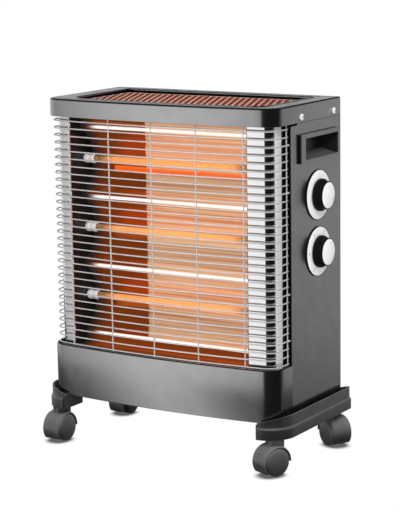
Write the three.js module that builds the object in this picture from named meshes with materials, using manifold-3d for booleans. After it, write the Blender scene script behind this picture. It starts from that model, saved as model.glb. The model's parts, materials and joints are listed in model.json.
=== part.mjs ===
// Free-standing quartz heater on four twin-wheel castors.
//
// Frame: +Z is up, the glowing front faces -Y and the controls are on the +X side.
// The finished group is centred on its overall box in X and Y and stands on Z = 0.
// All sizes are in millimetres.

import * as THREE from 'three';
import { mergeVertices } from 'three/addons/utils/BufferGeometryUtils.js';
import Module from 'manifold-3d';

const wasm = await Module();
wasm.setup();

// ---------------------------------------------------------------------------
// Driving dimensions
// ---------------------------------------------------------------------------

const clearance = 0.3; // gap between pieces that touch
const sheet = 1.2; // pressed steel sheet of the cabinet
const over = 1; // how far a cutting tool reaches past what it cuts

// Cabinet, seen from above a box with a bowed front and two round front corners
const cabinetWidth = 419;
const cabinetDepth = 213; // back face to the foot of the front bow
const frontBow = 10.2;
const frontCornerRadius = 26;
const backCornerRadius = 3;
const cabinetBottom = 80; // height of the cabinet's underside above the floor
const cabinetTop = 560;
const panelSetback = 52.3; // front edge of the side panels behind the foot of the bow
const panelFlange = 19; // returns along the edges of the side panels
const flangeReach = 19; // the panel's top flange, up inside the cover
const flangeRoot = 8; // and down behind the panel
const joggleHeight = 6; // joint between the panel and its set-back flange
const frontNotchHeight = 3.2; // relief at the panel's top front corner

// Top cover and the expanded-metal outlet grille under its opening
const coverHeight = 28;
const coverEdgeRadius = 3;
const coverSideRim = 36; // metal left beside the opening
const coverFrontRim = 29;
const coverBackRim = 24;
const openingCornerRadius = 22;
const coverLipDepth = 4.5; // the lip that turns down round the opening
const grilleMargin = 6; // how far the grille reaches past the opening
const grilleThickness = 1.5;
const meshPitchX = 39; // one diamond of the mesh, long way and short way
const meshPitchY = 23;
const meshStrand = 3.4;

// Cover screws
const screwHeadRadius = 5.4;
const screwHeadHeight = 2.4;
const screwShankRadius = 2;
const screwLength = 9;
const screwFromBack = 25.5; // rear screws before the cabinet's back
const screwSpacing = 103.5; // from a rear screw to the front one
const screwBelowTop = 19.8;

// Front guard of welded wires
const wireCount = 31;
const bottomWireOverSkirt = 1.5;
const topWireUnderCover = 7;
const wireSize = 2.3;
const guardInset = 5.4; // wire centres behind the cabinet outline
const guardToPanel = 1.8; // from the wires' ends to the side panels
const wireSlotGap = 0.5; // air round a hook in its slot
const uprightCount = 5;
const uprightMargin = 3.5; // outer uprights inside the chamber's edges
const uprightSink = 0.5; // how far an upright is welded into the wires
const uprightOverTop = 13; // reach of an upright past the top wire
const hookedWires = [3, 9, 22, 28]; // counted from the top
const hookLength = 8;

// Heating chamber between the corner columns, off centre to clear the controls
const leftColumnWidth = 40; // from the cabinet's side to the chamber
const rightColumnWidth = 52;
const ridgeSetback = 44.5; // reflector's ridges behind the foot of the bow
const floorSetback = 16.5; // front edge of the reflector's floor, likewise
const troughDepth = 30;
const ridgeHeight = 6.5;
const ridgeCrown = 1.6; // how far a ridge's round front stands out
const bottomRidgeOverSkirt = 15;
const topRidgeUnderTop = 32; // top ridge below the columns' top
const floorUnderSkirt = 2.5; // reflector's floor below the skirt's top edge
const reflectorSheet = 1;
const columnInset = 13; // corner columns behind the cabinet outline
const columnSheet = 1;
const columnUnderShelf = 33.5; // reach of a column below the skirt's shelf
const columnUnderGrille = 7.5; // air between the columns and the outlet grille
const bracketUnderColumn = 2; // bracket's top below the columns' top
const reflectorUnderColumn = 4;
const bracketBehindRidges = 48; // back of the tube brackets
const bracketFlange = 14;

// Quartz tubes
const tubeCount = 3;
const tubeBehindRidges = 10.5;
const tubeOverMiddle = 3.25; // tube axis over the middle of its trough
const tubeRadius = 5.6;
const tubeWall = 1.2;
const coilRadius = 2.8;
const leadRadius = 0.9;
const leadReach = 9; // lead left outside each end cap
const capLobeRadius = 8;
const capNeckRadius = 6.8;
const capLobeLength = 8.5;
const capNeckLength = 3;
const capSpigotRadius = 6;
const capSpigotLength = 8;
const capEndWall = 4;

// Front skirt
const skirtHeight = 83.5;
const skirtEdgeRadius = 3; // rolled top edge
const skirtShelfDrop = 8; // shelf below the skirt's top edge, which the guard stands on
const skirtFlange = 11;

// Side handles
const handleLength = 122;
const handleHeight = 44.5;
const handleFromBack = 14.5;
const handleBelowTop = 46;
const handleProud = 5;
const handleRim = 5; // bezel left under the opening
const handleTopRim = 7;
const handleFrontRim = 13;
const handleBackRim = 4;
const handleDepth = 26;
const handleWall = 2;
const handleTaper = 7;

// Controls on the right side
const controlFromBack = 76.9;
const thermostatBelowTop = 144.7;
const controlPitch = 88.5; // from the thermostat down to the selector
const thermostatPointer = 120; // degrees clockwise from the top
const selectorPointer = 30;
const dialRadius = 39;
const dialThickness = 1.8;
const dialBevel = 0.8;
const knobBaseRadius = 25.3;
const knobTopRadius = 21.8;
const knobBaseHeight = 6;
const knobShoulder = 2; // slope between the knob's foot and its grip
const knobEdge = 1;
const knobDraft = 0.4;
const knobLift = 0.9; // knob's foot over the dial plate
const knobCap = 3; // plastic left over the end of the shaft
const knobFaceOut = 18.7; // front of the knob from the panel's face
const pointerRadius = 1.1;
const pointerFromCentre = 15;
const pointerDepth = 0.5;
const shaftRadius = 3;
const bushingRadius = 5.5;
const bushingBehind = 2; // bushing and shaft behind the panel
const mountSize = 34; // mounting plate of both controls
const mountThickness = 1.6;
const thermostatRadius = 15;
const thermostatDepth = 22;
const capillarySize = 6;
const selectorSize = 32;
const selectorDepth = 24;
const tabCount = 3;
const tabWidth = 6;
const tabThickness = 0.8;
const tabLength = 7;
const tabPitch = 9;

// Tip-over switch and terminal block, both on the base pan
const tipSwitchFromSide = 26.5;
const tipSwitchBehindBracket = 10;
const tipSwitchWidth = 26;
const tipSwitchLength = 32;
const tipSwitchHeight = 22;
const tipDrumRadius = 9;
const tipDrumLength = 30;
const tipDrumZ = 12;
const tipEarWidth = 16;
const tipEarLength = 48;
const tipEarThickness = 3;
const fixingRadius = 2;
const fixingFromEnd = 4;
const terminalFromSide = 99.5;
const terminalFromBack = 36.5;
const terminalCount = 3;
const terminalPitch = 12;
const terminalWidth = 16;
const terminalHeight = 10;
const terminalTowerRadius = 4;
const terminalTowerHeight = 5;
const terminalBoreRadius = 2;
const terminalBoreZ = 6;

// Foot rails
const railDepth = 28.5; // reach of a rail under the cabinet
const railOverhang = 12.5; // rim outside the cabinet's side
const railFrontOverhang = 9; // rim in front of the cabinet's corner
const railBackOverhang = 12;
const railBackRadius = 12;
const railBottomZ = 56.5;
const railStepZ = 73.5;
const railRimZ = 92.5;
const railFrontRimZ = 82.5;
const railStep = 2.5; // how far the lower band stands out
const railWall = 2.5;
const railDeck = 3; // floor that the cabinet stands on
const railWaistInset = 9.5; // waist between the two wide castor pads
const railPadLength = 52; // of a pad, measured from the cabinet's back or front
const railPadSlope = 12;
const railRibCount = 2;
const railRibThickness = 2;
const railEdge = 1.5; // rounding of the lower band
const stemBossRadius = 11;

// Castors
const castorInset = 9.5; // stems inside the cabinet's sides
const castorInsetY = 12.5; // stems inside the cabinet's back and front
const wheelRadius = 22;
const wheelWidth = 11.5;
const wheelDome = 4;
const hoodGap = 1.2;
const hoodWall = 2.8;
const hoodWeb = 8;
const hoodSlant = 0.3; // the hood's lower edge falls towards the trailing side, radians
const hoodUnderAxle = 5;
const axleRadius = 3;
const neckRadius = 14.5;
const stemRadius = 4;
const stemLength = 40;
const stemInRail = 14;
const stemPoint = 2; // chamfered end of the stem
const neckSink = 8; // neck's foot over the axle
const hoodOverWheels = 1; // hood past the wheels' outer edges
const axleShort = 1; // axle's ends inside the wheels' faces
const wheelEdge = 1;
const wheelShoulder = 0.8; // share of the radius at which the dome steepens
const castorTrail = 6;
// Turn of each castor about its stem, degrees, in the order right front,
// left front, right rear, left rear
const castorHeadings = [157, 180, -120, 180];

// Rear cover
const ventRows = 5;
const ventColumns = 3;
const ventMargin = 55.5; // from the cabinet's side to the first slot
const ventGap = 28; // between two columns of slots
const ventHeight = 5;
const ventPitchZ = 14;
const lowerVentOverBottom = 70;
const upperVentUnderCover = 112;
const tongueReach = 12; // rear cover's tongue, up inside the top cover
const tongueRoot = 9;
const tongueSideGap = 2;
const glandFromSide = 59.5;
const glandOverBottom = 32;
const glandRadius = 9;
const glandReach = 9;
const glandBehind = 5;
const glandFlangeWidth = 3.5;
const glandFlangeThickness = 3;
const glandTaper = 2;
const cordBoreRadius = 3.8;
const panWallHeight = 16; // upright wall near the back of the base pan
const panWallGap = 3;
const panWallSideGap = 6;

// ---------------------------------------------------------------------------
// Sizes that follow from them
// ---------------------------------------------------------------------------

const sideX = cabinetWidth / 2;
const backY = cabinetDepth / 2;
const frontY = -cabinetDepth / 2 - frontBow;
const bowHalfWidth = sideX - frontCornerRadius;
const bowRadius = (bowHalfWidth ** 2 + frontBow ** 2) / (2 * frontBow);
const coverBottomZ = cabinetTop - coverHeight;
const footY = -cabinetDepth / 2; // foot of the front bow
const panelFrontY = footY + panelSetback;
const panelX = sideX - clearance; // outer face of a side panel
const panelInnerX = panelX - sheet;
const panelBackY = backY - sheet - clearance; // rear cover lies behind it
const chamberLeftX = leftColumnWidth - sideX;
const chamberRightX = sideX - rightColumnWidth;
const chamberWidth = chamberRightX - chamberLeftX;
const chamberCentreX = (chamberLeftX + chamberRightX) / 2;
const uprightPitch = (chamberWidth - 2 * uprightMargin) / (uprightCount - 1);
const deckZ = cabinetBottom - clearance; // top of the rails' floor
const panZ = cabinetBottom + sheet + clearance; // underside of the base pan
const panTopZ = panZ + sheet;
const skirtTopZ = cabinetBottom + skirtHeight;
const shelfZ = skirtTopZ - skirtShelfDrop;
const bottomWireZ = skirtTopZ + bottomWireOverSkirt;
const topWireZ = coverBottomZ - topWireUnderCover;
const wirePitch = (topWireZ - bottomWireZ) / (wireCount - 1);
const guardSideY = panelFrontY - guardToPanel;
const grilleTopZ = cabinetTop - sheet - coverLipDepth - clearance;
const columnBottomZ = shelfZ - columnUnderShelf;
const columnTopZ = grilleTopZ - grilleThickness - columnUnderGrille;
const bracketTopZ = columnTopZ - bracketUnderColumn;
const reflectorTopZ = columnTopZ - reflectorUnderColumn;
const reflectorFloorZ = skirtTopZ - floorUnderSkirt;
const reflectorFloorFrontY = footY + floorSetback;
const ridgeY = footY + ridgeSetback;
const bottomRidgeZ = skirtTopZ + bottomRidgeOverSkirt;
const ridgePitch = (columnTopZ - topRidgeUnderTop - bottomRidgeZ) / tubeCount;
const bracketBackY = ridgeY + bracketBehindRidges;
const tubeY = ridgeY + tubeBehindRidges;
const tipSwitchY = bracketBackY + tipSwitchBehindBracket + tipEarLength / 2;
const screwZ = cabinetTop - screwBelowTop;
const screwY = [backY - screwFromBack - screwSpacing, backY - screwFromBack];
const handleY = [backY - handleFromBack - handleLength, backY - handleFromBack];
const handleZ = [cabinetTop - handleBelowTop - handleHeight, cabinetTop - handleBelowTop];
const handleOpeningY = [handleY[0] + handleFrontRim, handleY[1] - handleBackRim];
const handleOpeningZ = [handleZ[0] + handleRim, handleZ[1] - handleTopRim];
const controlY = backY - controlFromBack;
const thermostatZ = cabinetTop - thermostatBelowTop;
const selectorZ = thermostatZ - controlPitch;
const railInnerX = sideX - railDepth;
const railWaistX = sideX - railWaistInset;
const castorX = sideX - castorInset;
const castorY = backY - castorInsetY;
const ventLength = (cabinetWidth - 2 * ventMargin - (ventColumns - 1) * ventGap) / ventColumns;
const ventPitchX = ventLength + ventGap;
const lowerVentZ = cabinetBottom + lowerVentOverBottom;
const upperVentZ = coverBottomZ - upperVentUnderCover;
const glandX = sideX - glandFromSide;
const glandZ = cabinetBottom + glandOverBottom;
const capInnerLength = 2 * capLobeLength + capNeckLength;
const stemTopZ = railBottomZ + stemInRail;

// ---------------------------------------------------------------------------
// Materials
// ---------------------------------------------------------------------------

const finish = (color, roughness, metalness, extra = {}) =>
  new THREE.MeshStandardMaterial({ color, roughness, metalness, ...extra });

const materials = {
  greyPaint: finish('#57585a', 0.38, 0.35),
  copperMesh: finish('#b5482c', 0.45, 0.7),
  copperMirror: finish('#d98a4e', 0.16, 1),
  chrome: finish('#e6e8ea', 0.1, 1),
  darkSteel: finish('#2a2a2c', 0.5, 0.6),
  zincSteel: finish('#a9abad', 0.4, 0.9),
  blackPlastic: finish('#141415', 0.35, 0),
  silverPlate: finish('#eceded', 0.35, 0.3),
  glowingQuartz: finish('#ff9a4a', 0.2, 0, { emissive: '#ff5a14', emissiveIntensity: 1 }),
  resistanceWire: finish('#ff7a30', 0.5, 0.6, { emissive: '#ff4a10', emissiveIntensity: 1 }),
  ceramic: finish('#ece6da', 0.6, 0),
  brightScrew: finish('#dcdddf', 0.2, 1),
  palePlastic: finish('#d9d6cc', 0.5, 0),
};

// ---------------------------------------------------------------------------
// Shape helpers
// ---------------------------------------------------------------------------

// Indexed geometry with shared vertices, no flat triangles and faces pointing out
function tidy(geometry) {
  const bare = new THREE.BufferGeometry();
  bare.setAttribute('position', geometry.getAttribute('position').clone());
  if (geometry.index) bare.setIndex(geometry.index.clone());
  const merged = mergeVertices(bare, 1e-4);
  const position = merged.getAttribute('position');
  const triangles = [];
  let volume = 0;
  for (let i = 0; i < merged.index.count; i += 3) {
    const corners = [0, 1, 2].map((k) => merged.index.getX(i + k));
    if (new Set(corners).size < 3) continue;
    const [a, b, c] = corners.map((k) => new THREE.Vector3().fromBufferAttribute(position, k));
    volume += a.dot(b.cross(c));
    triangles.push(corners);
  }
  const outward = volume > 0 ? triangles : triangles.map(([a, b, c]) => [a, c, b]);
  merged.setIndex(outward.flat());
  return merged;
}

function toSolid(shape) {
  if (!shape.isBufferGeometry) return shape;
  const geometry = tidy(shape);
  const mesh = new wasm.Mesh({
    numProp: 3,
    vertProperties: Float32Array.from(geometry.getAttribute('position').array),
    triVerts: Uint32Array.from(geometry.index.array),
  });
  return new wasm.Manifold(mesh);
}

function toGeometry(shape) {
  const mesh = toSolid(shape).getMesh();
  const geometry = new THREE.BufferGeometry();
  geometry.setAttribute('position', new THREE.BufferAttribute(mesh.vertProperties, 3));
  geometry.setIndex(new THREE.BufferAttribute(mesh.triVerts, 1));
  geometry.computeVertexNormals();
  return geometry;
}

const join = (first, ...others) =>
  others.reduce((body, other) => body.add(toSolid(other)), toSolid(first));

const cut = (body, ...tools) =>
  tools.reduce((rest, tool) => rest.subtract(toSolid(tool)), toSolid(body));

// Radius of a faceted bore whose flats keep the clearance to a round pin
const boreFor = (radius, segments) => (radius + clearance) / Math.cos(Math.PI / segments);

// The same shape on the other side of the heater
function mirrored(shape) {
  const geometry = toGeometry(shape);
  geometry.scale(-1, 1, 1);
  return tidy(geometry);
}

const block = (x0, x1, y0, y1, z0, z1) =>
  new THREE.BoxGeometry(x1 - x0, y1 - y0, z1 - z0)
    .translate((x0 + x1) / 2, (y0 + y1) / 2, (z0 + z1) / 2);

// Places at an even pitch on both sides of zero
const centred = (count, pitch) => Array.from({ length: count }, (_, i) => (i - (count - 1) / 2) * pitch);

// Cylinder between two points
function rod(radius, from, to, segments = 16) {
  const start = new THREE.Vector3(...from);
  const span = new THREE.Vector3(...to).sub(start);
  const turn = new THREE.Quaternion()
    .setFromUnitVectors(new THREE.Vector3(0, 1, 0), span.clone().normalize());
  const middle = start.addScaledVector(span, 0.5);
  return new THREE.CylinderGeometry(radius, radius, span.length(), segments)
    .applyQuaternion(turn)
    .translate(middle.x, middle.y, middle.z);
}

// Profile of [radius, height] points turned about Z. A profile that begins off the
// axis is a ring's section and is closed on itself.
function revolve(profile, segments) {
  const section = profile[0][0] > 0 ? [...profile, profile[0]] : profile;
  const points = section.map(([radius, height]) => new THREE.Vector2(radius, height));
  return tidy(new THREE.LatheGeometry(points, segments).rotateX(Math.PI / 2));
}

// Flat outline, with holes, raised from z0 to z1
function plate(outline, z0, z1, holes = []) {
  const shape = new THREE.Shape(outline);
  shape.holes = holes.map((hole) => new THREE.Path(hole));
  return new THREE.ExtrudeGeometry(shape, { depth: z1 - z0, bevelEnabled: false, steps: 1 })
    .translate(0, 0, z0);
}

// Outline of [y, z] points run along X
const barAlongX = (outline, x0, x1) =>
  plate(outline.map(([y, z]) => new THREE.Vector2(y, z)), x0, x1)
    .applyMatrix4(new THREE.Matrix4().set(0, 0, 1, 0, 1, 0, 0, 0, 0, 1, 0, 0, 0, 0, 0, 1));

// Skin over rings of equal point count, closed with a flat cap at both ends
function loft(rings) {
  const size = rings[0].length;
  const triangles = [];
  for (let r = 0; r + 1 < rings.length; r += 1) {
    for (let i = 0; i < size; i += 1) {
      const next = (i + 1) % size;
      const [a, b, c, d] = [r * size + i, r * size + next, (r + 1) * size + next, (r + 1) * size + i];
      triangles.push(a, b, c, a, c, d);
    }
  }
  const lastRing = (rings.length - 1) * size;
  for (const [a, b, c] of flatTriangles(rings[0])) triangles.push(a, c, b);
  for (const [a, b, c] of flatTriangles(rings.at(-1))) {
    triangles.push(lastRing + a, lastRing + b, lastRing + c);
  }
  const geometry = new THREE.BufferGeometry();
  geometry.setFromPoints(rings.flat());
  geometry.setIndex(triangles);
  return tidy(geometry);
}

// Triangles of a flat ring, seen square to its plane, in the ring's own direction
function flatTriangles(ring) {
  const normal = new THREE.Vector3();
  ring.forEach((point, i) => normal.add(point.clone().cross(ring[(i + 1) % ring.length])));
  const turn = new THREE.Quaternion()
    .setFromUnitVectors(normal.normalize(), new THREE.Vector3(0, 0, 1));
  const flat = ring.map((point) => point.clone().applyQuaternion(turn))
    .map((point) => new THREE.Vector2(point.x, point.y));
  return THREE.ShapeUtils.triangulateShape(flat, []);
}

// ---------------------------------------------------------------------------
// Cabinet outline
// ---------------------------------------------------------------------------

// Points and outward normals from the left side round the bowed front to the right
function bowedFront({ halfWidth, apexY, cornerRadius, radius }, cornerSteps, frontSteps) {
  const centreY = apexY + radius;
  const half = halfWidth - cornerRadius;
  const bend = Math.asin(half / (radius - cornerRadius));
  const cornerY = centreY - (radius - cornerRadius) * Math.cos(bend);
  const down = 1.5 * Math.PI;
  const arcs = [
    { x: -half, y: cornerY, r: cornerRadius, from: Math.PI, to: down - bend, steps: cornerSteps },
    { x: 0, y: centreY, r: radius, from: down - bend, to: down + bend, steps: frontSteps },
    { x: half, y: cornerY, r: cornerRadius, from: down + bend, to: 2 * Math.PI, steps: cornerSteps },
  ];
  const path = [];
  arcs.forEach((arc, index) => {
    for (let i = index === 0 ? 0 : 1; i <= arc.steps; i += 1) {
      const angle = arc.from + ((arc.to - arc.from) * i) / arc.steps;
      const normal = new THREE.Vector2(Math.cos(angle), Math.sin(angle));
      path.push({ point: new THREE.Vector2(arc.x, arc.y).addScaledVector(normal, arc.r), normal });
    }
  });
  return path;
}

const cabinetFront = (inset) => ({
  halfWidth: sideX - inset,
  apexY: frontY + inset,
  cornerRadius: frontCornerRadius - inset,
  radius: bowRadius - inset,
});

// Closed outline: the bowed front and a square back with small corner radii
function closedOutline(front, back, backRadius, cornerSteps, frontSteps) {
  const outline = bowedFront(front, cornerSteps, frontSteps).map(({ point }) => point);
  for (const side of [1, -1]) {
    const centreX = side * (front.halfWidth - backRadius);
    for (const step of [0, 1, 2]) {
      const angle = side > 0 ? (step * Math.PI) / 4 : Math.PI / 2 + (step * Math.PI) / 4;
      outline.push(new THREE.Vector2(
        centreX + backRadius * Math.cos(angle),
        back - backRadius + backRadius * Math.sin(angle),
      ));
    }
  }
  return outline;
}

const cabinetOutline = (inset) =>
  closedOutline(cabinetFront(inset), backY - inset, Math.max(backCornerRadius - inset, 0.8), 5, 8);

const coverOpening = (outset) => closedOutline(
  {
    halfWidth: sideX - coverSideRim + outset,
    apexY: frontY + coverFrontRim - outset,
    cornerRadius: openingCornerRadius + outset,
    radius: bowRadius - coverFrontRim + outset,
  },
  backY - coverBackRim + outset,
  backCornerRadius + outset,
  4,
  6,
);

const raised = (outline, z) => outline.map((point) => new THREE.Vector3(point.x, point.y, z));

// Runs a section of [outset, z] points along a path on the cabinet outline
const sweep = (path, section) => loft(path.map(({ point, normal }) =>
  section.map(([outset, z]) => new THREE.Vector3(
    point.x + normal.x * outset,
    point.y + normal.y * outset,
    z,
  ))));

// The front of the cabinet outline with a straight run back to endY on each side
function wrapPath(endY, cornerSteps, frontSteps) {
  const path = bowedFront(cabinetFront(0), cornerSteps, frontSteps);
  const left = { point: new THREE.Vector2(-sideX, endY), normal: new THREE.Vector2(-1, 0) };
  const right = { point: new THREE.Vector2(sideX, endY), normal: new THREE.Vector2(1, 0) };
  return [left, ...path, right];
}

// Part of the front from x = edgeX on the bow, round the right corner, back to endY
function cornerPath(edgeX, endY) {
  const angle = 1.5 * Math.PI + Math.asin(edgeX / bowRadius);
  const normal = new THREE.Vector2(Math.cos(angle), Math.sin(angle));
  const point = new THREE.Vector2(0, frontY + bowRadius).addScaledVector(normal, bowRadius);
  const beyond = wrapPath(endY, 6, 2).filter((station) => station.point.x > bowHalfWidth - 1);
  return [{ point, normal }, ...beyond];
}

// Depth of the cabinet outline, moved in by inset, at a place across the front
const frontDepthAt = (x, inset) =>
  frontY + bowRadius - Math.sqrt((bowRadius - inset) ** 2 - x ** 2);

// ---------------------------------------------------------------------------
// Cabinet pieces
// ---------------------------------------------------------------------------

function topCover() {
  const shell = loft([
    raised(cabinetOutline(0), coverBottomZ),
    raised(cabinetOutline(0), cabinetTop - coverEdgeRadius),
    raised(cabinetOutline(coverEdgeRadius * 0.3), cabinetTop - coverEdgeRadius * 0.3),
    raised(cabinetOutline(coverEdgeRadius), cabinetTop),
  ]);
  const cavity = plate(cabinetOutline(sheet), coverBottomZ - over, cabinetTop - sheet);
  const lip = plate(coverOpening(sheet), cabinetTop - sheet - coverLipDepth, cabinetTop - sheet / 2);
  const opening = plate(coverOpening(0), coverBottomZ - over, cabinetTop + over);
  const screwHoles = screwY.map((y) =>
    rod(boreFor(screwShankRadius, 10), [-sideX - over, y, screwZ], [sideX + over, y, screwZ], 10));
  return cut(join(cut(shell, cavity), lip), opening, ...screwHoles);
}

// Expanded metal: staggered diamonds, wherever a whole one fits inside the opening
function topGrille() {
  const outline = coverOpening(grilleMargin);
  const border = coverOpening(-meshStrand / 2);
  const halfX = meshPitchX / 2 - meshStrand;
  const halfY = meshPitchY / 2 - meshStrand / 2;
  const columns = Math.ceil(cabinetWidth / meshPitchX);
  const rows = Math.ceil(cabinetDepth / meshPitchY);
  const diamonds = [];
  for (let row = -2 * rows; row <= 2 * rows; row += 1) {
    const y = (row * meshPitchY) / 2;
    const stagger = row % 2 === 0 ? 0 : meshPitchX / 2;
    for (let column = -columns; column <= columns; column += 1) {
      const x = column * meshPitchX + stagger;
      const diamond = [[x + halfX, y], [x, y + halfY], [x - halfX, y], [x, y - halfY]]
        .map((corner) => new THREE.Vector2(...corner));
      if (diamond.every((corner) => isInside(corner, border))) diamonds.push(diamond);
    }
  }
  return plate(outline, grilleTopZ - grilleThickness, grilleTopZ, diamonds);
}

function isInside(point, outline) {
  let inside = false;
  outline.forEach((a, i) => {
    const b = outline[(i + 1) % outline.length];
    if ((a.y > point.y) === (b.y > point.y)) return;
    if (point.x < a.x + ((b.x - a.x) * (point.y - a.y)) / (b.y - a.y)) inside = !inside;
  });
  return inside;
}

// Pressed side panel: a tray with returns at the front, the back and the foot, and
// a joggled top flange that reaches up inside the cover
function sidePanel(hasControls) {
  const tray = cut(
    block(
      panelX - panelFlange, panelX,
      panelFrontY, panelBackY,
      cabinetBottom, coverBottomZ - clearance,
    ),
    block(
      panelX - panelFlange - over, panelInnerX,
      panelFrontY + sheet, panelBackY - sheet,
      cabinetBottom + sheet, coverBottomZ + over,
    ),
  );
  const flangeFrontY = panelFrontY + panelFlange;
  const flangeBackY = panelBackY - panelFlange / 2;
  const flangeFoot = coverBottomZ - flangeRoot;
  const flange = join(
    block(
      panelInnerX - sheet, panelInnerX,
      flangeFrontY, flangeBackY,
      flangeFoot, coverBottomZ + flangeReach,
    ),
    block(
      panelInnerX - sheet / 2, panelX - sheet / 2,
      flangeFrontY, flangeBackY,
      flangeFoot, flangeFoot + joggleHeight,
    ),
  );
  const notch = block(panelX - panelFlange - over, panelX + over, panelFrontY - over, flangeFrontY,
    coverBottomZ - frontNotchHeight, coverBottomZ + over);
  const cupGap = handleWall + clearance;
  const tools = [notch, block(
    panelInnerX - sheet - over, panelX + over,
    handleOpeningY[0] - cupGap, handleOpeningY[1] + cupGap,
    handleOpeningZ[0] - cupGap, handleOpeningZ[1] + cupGap,
  )];
  for (const y of screwY) {
    const bore = boreFor(screwShankRadius, 10);
    tools.push(rod(bore, [panelInnerX - sheet - over, y, screwZ], [panelX + over, y, screwZ], 10));
  }
  const slot = wireSize / 2 + wireSlotGap;
  for (const wire of hookedWires) {
    const z = topWireZ - (wire - 1) * wirePitch;
    const x = sideX - guardInset;
    tools.push(block(x - slot, x + slot, panelFrontY - over, panelFrontY + sheet + over, z - slot, z + slot));
  }
  if (hasControls) {
    for (const z of [thermostatZ, selectorZ]) {
      const bore = boreFor(bushingRadius, 14);
      tools.push(rod(bore, [panelInnerX - over, controlY, z], [panelX + over, controlY, z], 14));
    }
  }
  return cut(join(tray, flange), ...tools);
}

// Flat rear cover with two banks of air slots and a tongue that hooks inside the top cover
function rearCover() {
  const slotOutline = (x, z) => {
    const bar = ventLength / 2 - ventHeight / 2;
    const half = ventHeight / 2;
    return [
      [x + bar, z - half], [x + bar + half, z], [x + bar, z + half],
      [x - bar, z + half], [x - bar - half, z], [x - bar, z - half],
    ].map((corner) => new THREE.Vector2(...corner));
  };
  const slots = [];
  for (const bankZ of [lowerVentZ, upperVentZ]) {
    for (let row = 0; row < ventRows; row += 1) {
      for (let column = 0; column < ventColumns; column += 1) {
        const x = (column - (ventColumns - 1) / 2) * ventPitchX;
        slots.push(slotOutline(x, bankZ + row * ventPitchZ));
      }
    }
  }
  const halfWidth = sideX - backCornerRadius;
  const outline = [
    [-halfWidth, cabinetBottom], [halfWidth, cabinetBottom],
    [halfWidth, coverBottomZ - clearance], [-halfWidth, coverBottomZ - clearance],
  ].map((corner) => new THREE.Vector2(...corner));
  // The outline is drawn with z as its second coordinate and stood up afterwards
  const skin = plate(outline, 0, sheet, slots)
    .applyMatrix4(new THREE.Matrix4().set(1, 0, 0, 0, 0, 0, -1, backY, 0, 1, 0, 0, 0, 0, 0, 1));
  const tongueX = panelX - panelFlange - tongueSideGap;
  const tongueY = backY - sheet - clearance;
  const tongueFoot = coverBottomZ - tongueRoot;
  const tongue = block(-tongueX, tongueX, tongueY - sheet, tongueY, tongueFoot, coverBottomZ + tongueReach);
  const root = block(-tongueX, tongueX, tongueY - sheet / 2, backY - sheet / 2, tongueFoot,
    tongueFoot + joggleHeight);
  const glandHole = rod(
    boreFor(glandRadius, 12),
    [glandX, backY - sheet - over, glandZ],
    [glandX, backY + over, glandZ],
    12,
  );
  return cut(join(skin, root, tongue), glandHole);
}

// Floor of the cabinet, notched round the front returns of the side panels
function basePan() {
  const halfWidth = panelInnerX - clearance;
  const pan = plate(cabinetOutline(sideX - halfWidth), panZ, panTopZ);
  const wallX = halfWidth - panWallSideGap;
  const wallY = panelBackY - panWallGap;
  const wall = block(-wallX, wallX, wallY - sheet, wallY, panZ, panZ + panWallHeight);
  const behindY = panelBackY - sheet - clearance;
  const behind = block(-sideX, sideX, behindY, backY + over, panZ - over, panTopZ + over);
  const notches = [1, -1].map((side) => {
    const ends = [side * (panelX - panelFlange - clearance), side * (sideX + over)].sort((a, b) => a - b);
    return block(ends[0], ends[1], panelFrontY - clearance, panelFrontY + sheet + clearance,
      panZ - over, panTopZ + over);
  });
  return cut(join(pan, wall), behind, ...notches);
}

// Bowed channel below the guard: a wall with a rolled top edge, a foot flange and the
// shelf the guard stands on
function frontSkirt() {
  const rollZ = skirtTopZ - skirtEdgeRadius;
  const roll = [0, 1, 2, 3].map((step) => {
    const angle = (step / 3) * (Math.PI / 2);
    return [skirtEdgeRadius * (Math.cos(angle) - 1), rollZ + skirtEdgeRadius * Math.sin(angle)];
  });
  const section = [
    [0, cabinetBottom],
    ...roll,
    [-skirtEdgeRadius, skirtTopZ - sheet],
    [-sheet, rollZ],
    [-sheet, shelfZ],
    [-skirtFlange, shelfZ],
    [-skirtFlange, shelfZ - sheet],
    [-sheet, shelfZ - sheet],
    [-sheet, cabinetBottom + sheet],
    [-skirtFlange, cabinetBottom + sheet],
    [-skirtFlange, cabinetBottom],
  ];
  return sweep(wrapPath(panelFrontY - clearance, 5, 8), section);
}

// ---------------------------------------------------------------------------
// Guard
// ---------------------------------------------------------------------------

// Three-sided section of a wire: a flat back and a ridge in front
function wireSection(outset, z) {
  const half = wireSize / 2;
  return [[outset - half, z - half], [outset + half, z], [outset - half, z + half]];
}

// Upright with the same section, ridge towards -Y and welded into the wires' backs
function guardUpright(x, y, turn) {
  const half = wireSize / 2;
  const section = [[-half, half], [half, half], [0, -half]];
  return plate(section.map((corner) => new THREE.Vector2(...corner)),
    shelfZ + clearance, topWireZ + uprightOverTop)
    .rotateZ(turn)
    .translate(x, y, 0);
}

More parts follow.
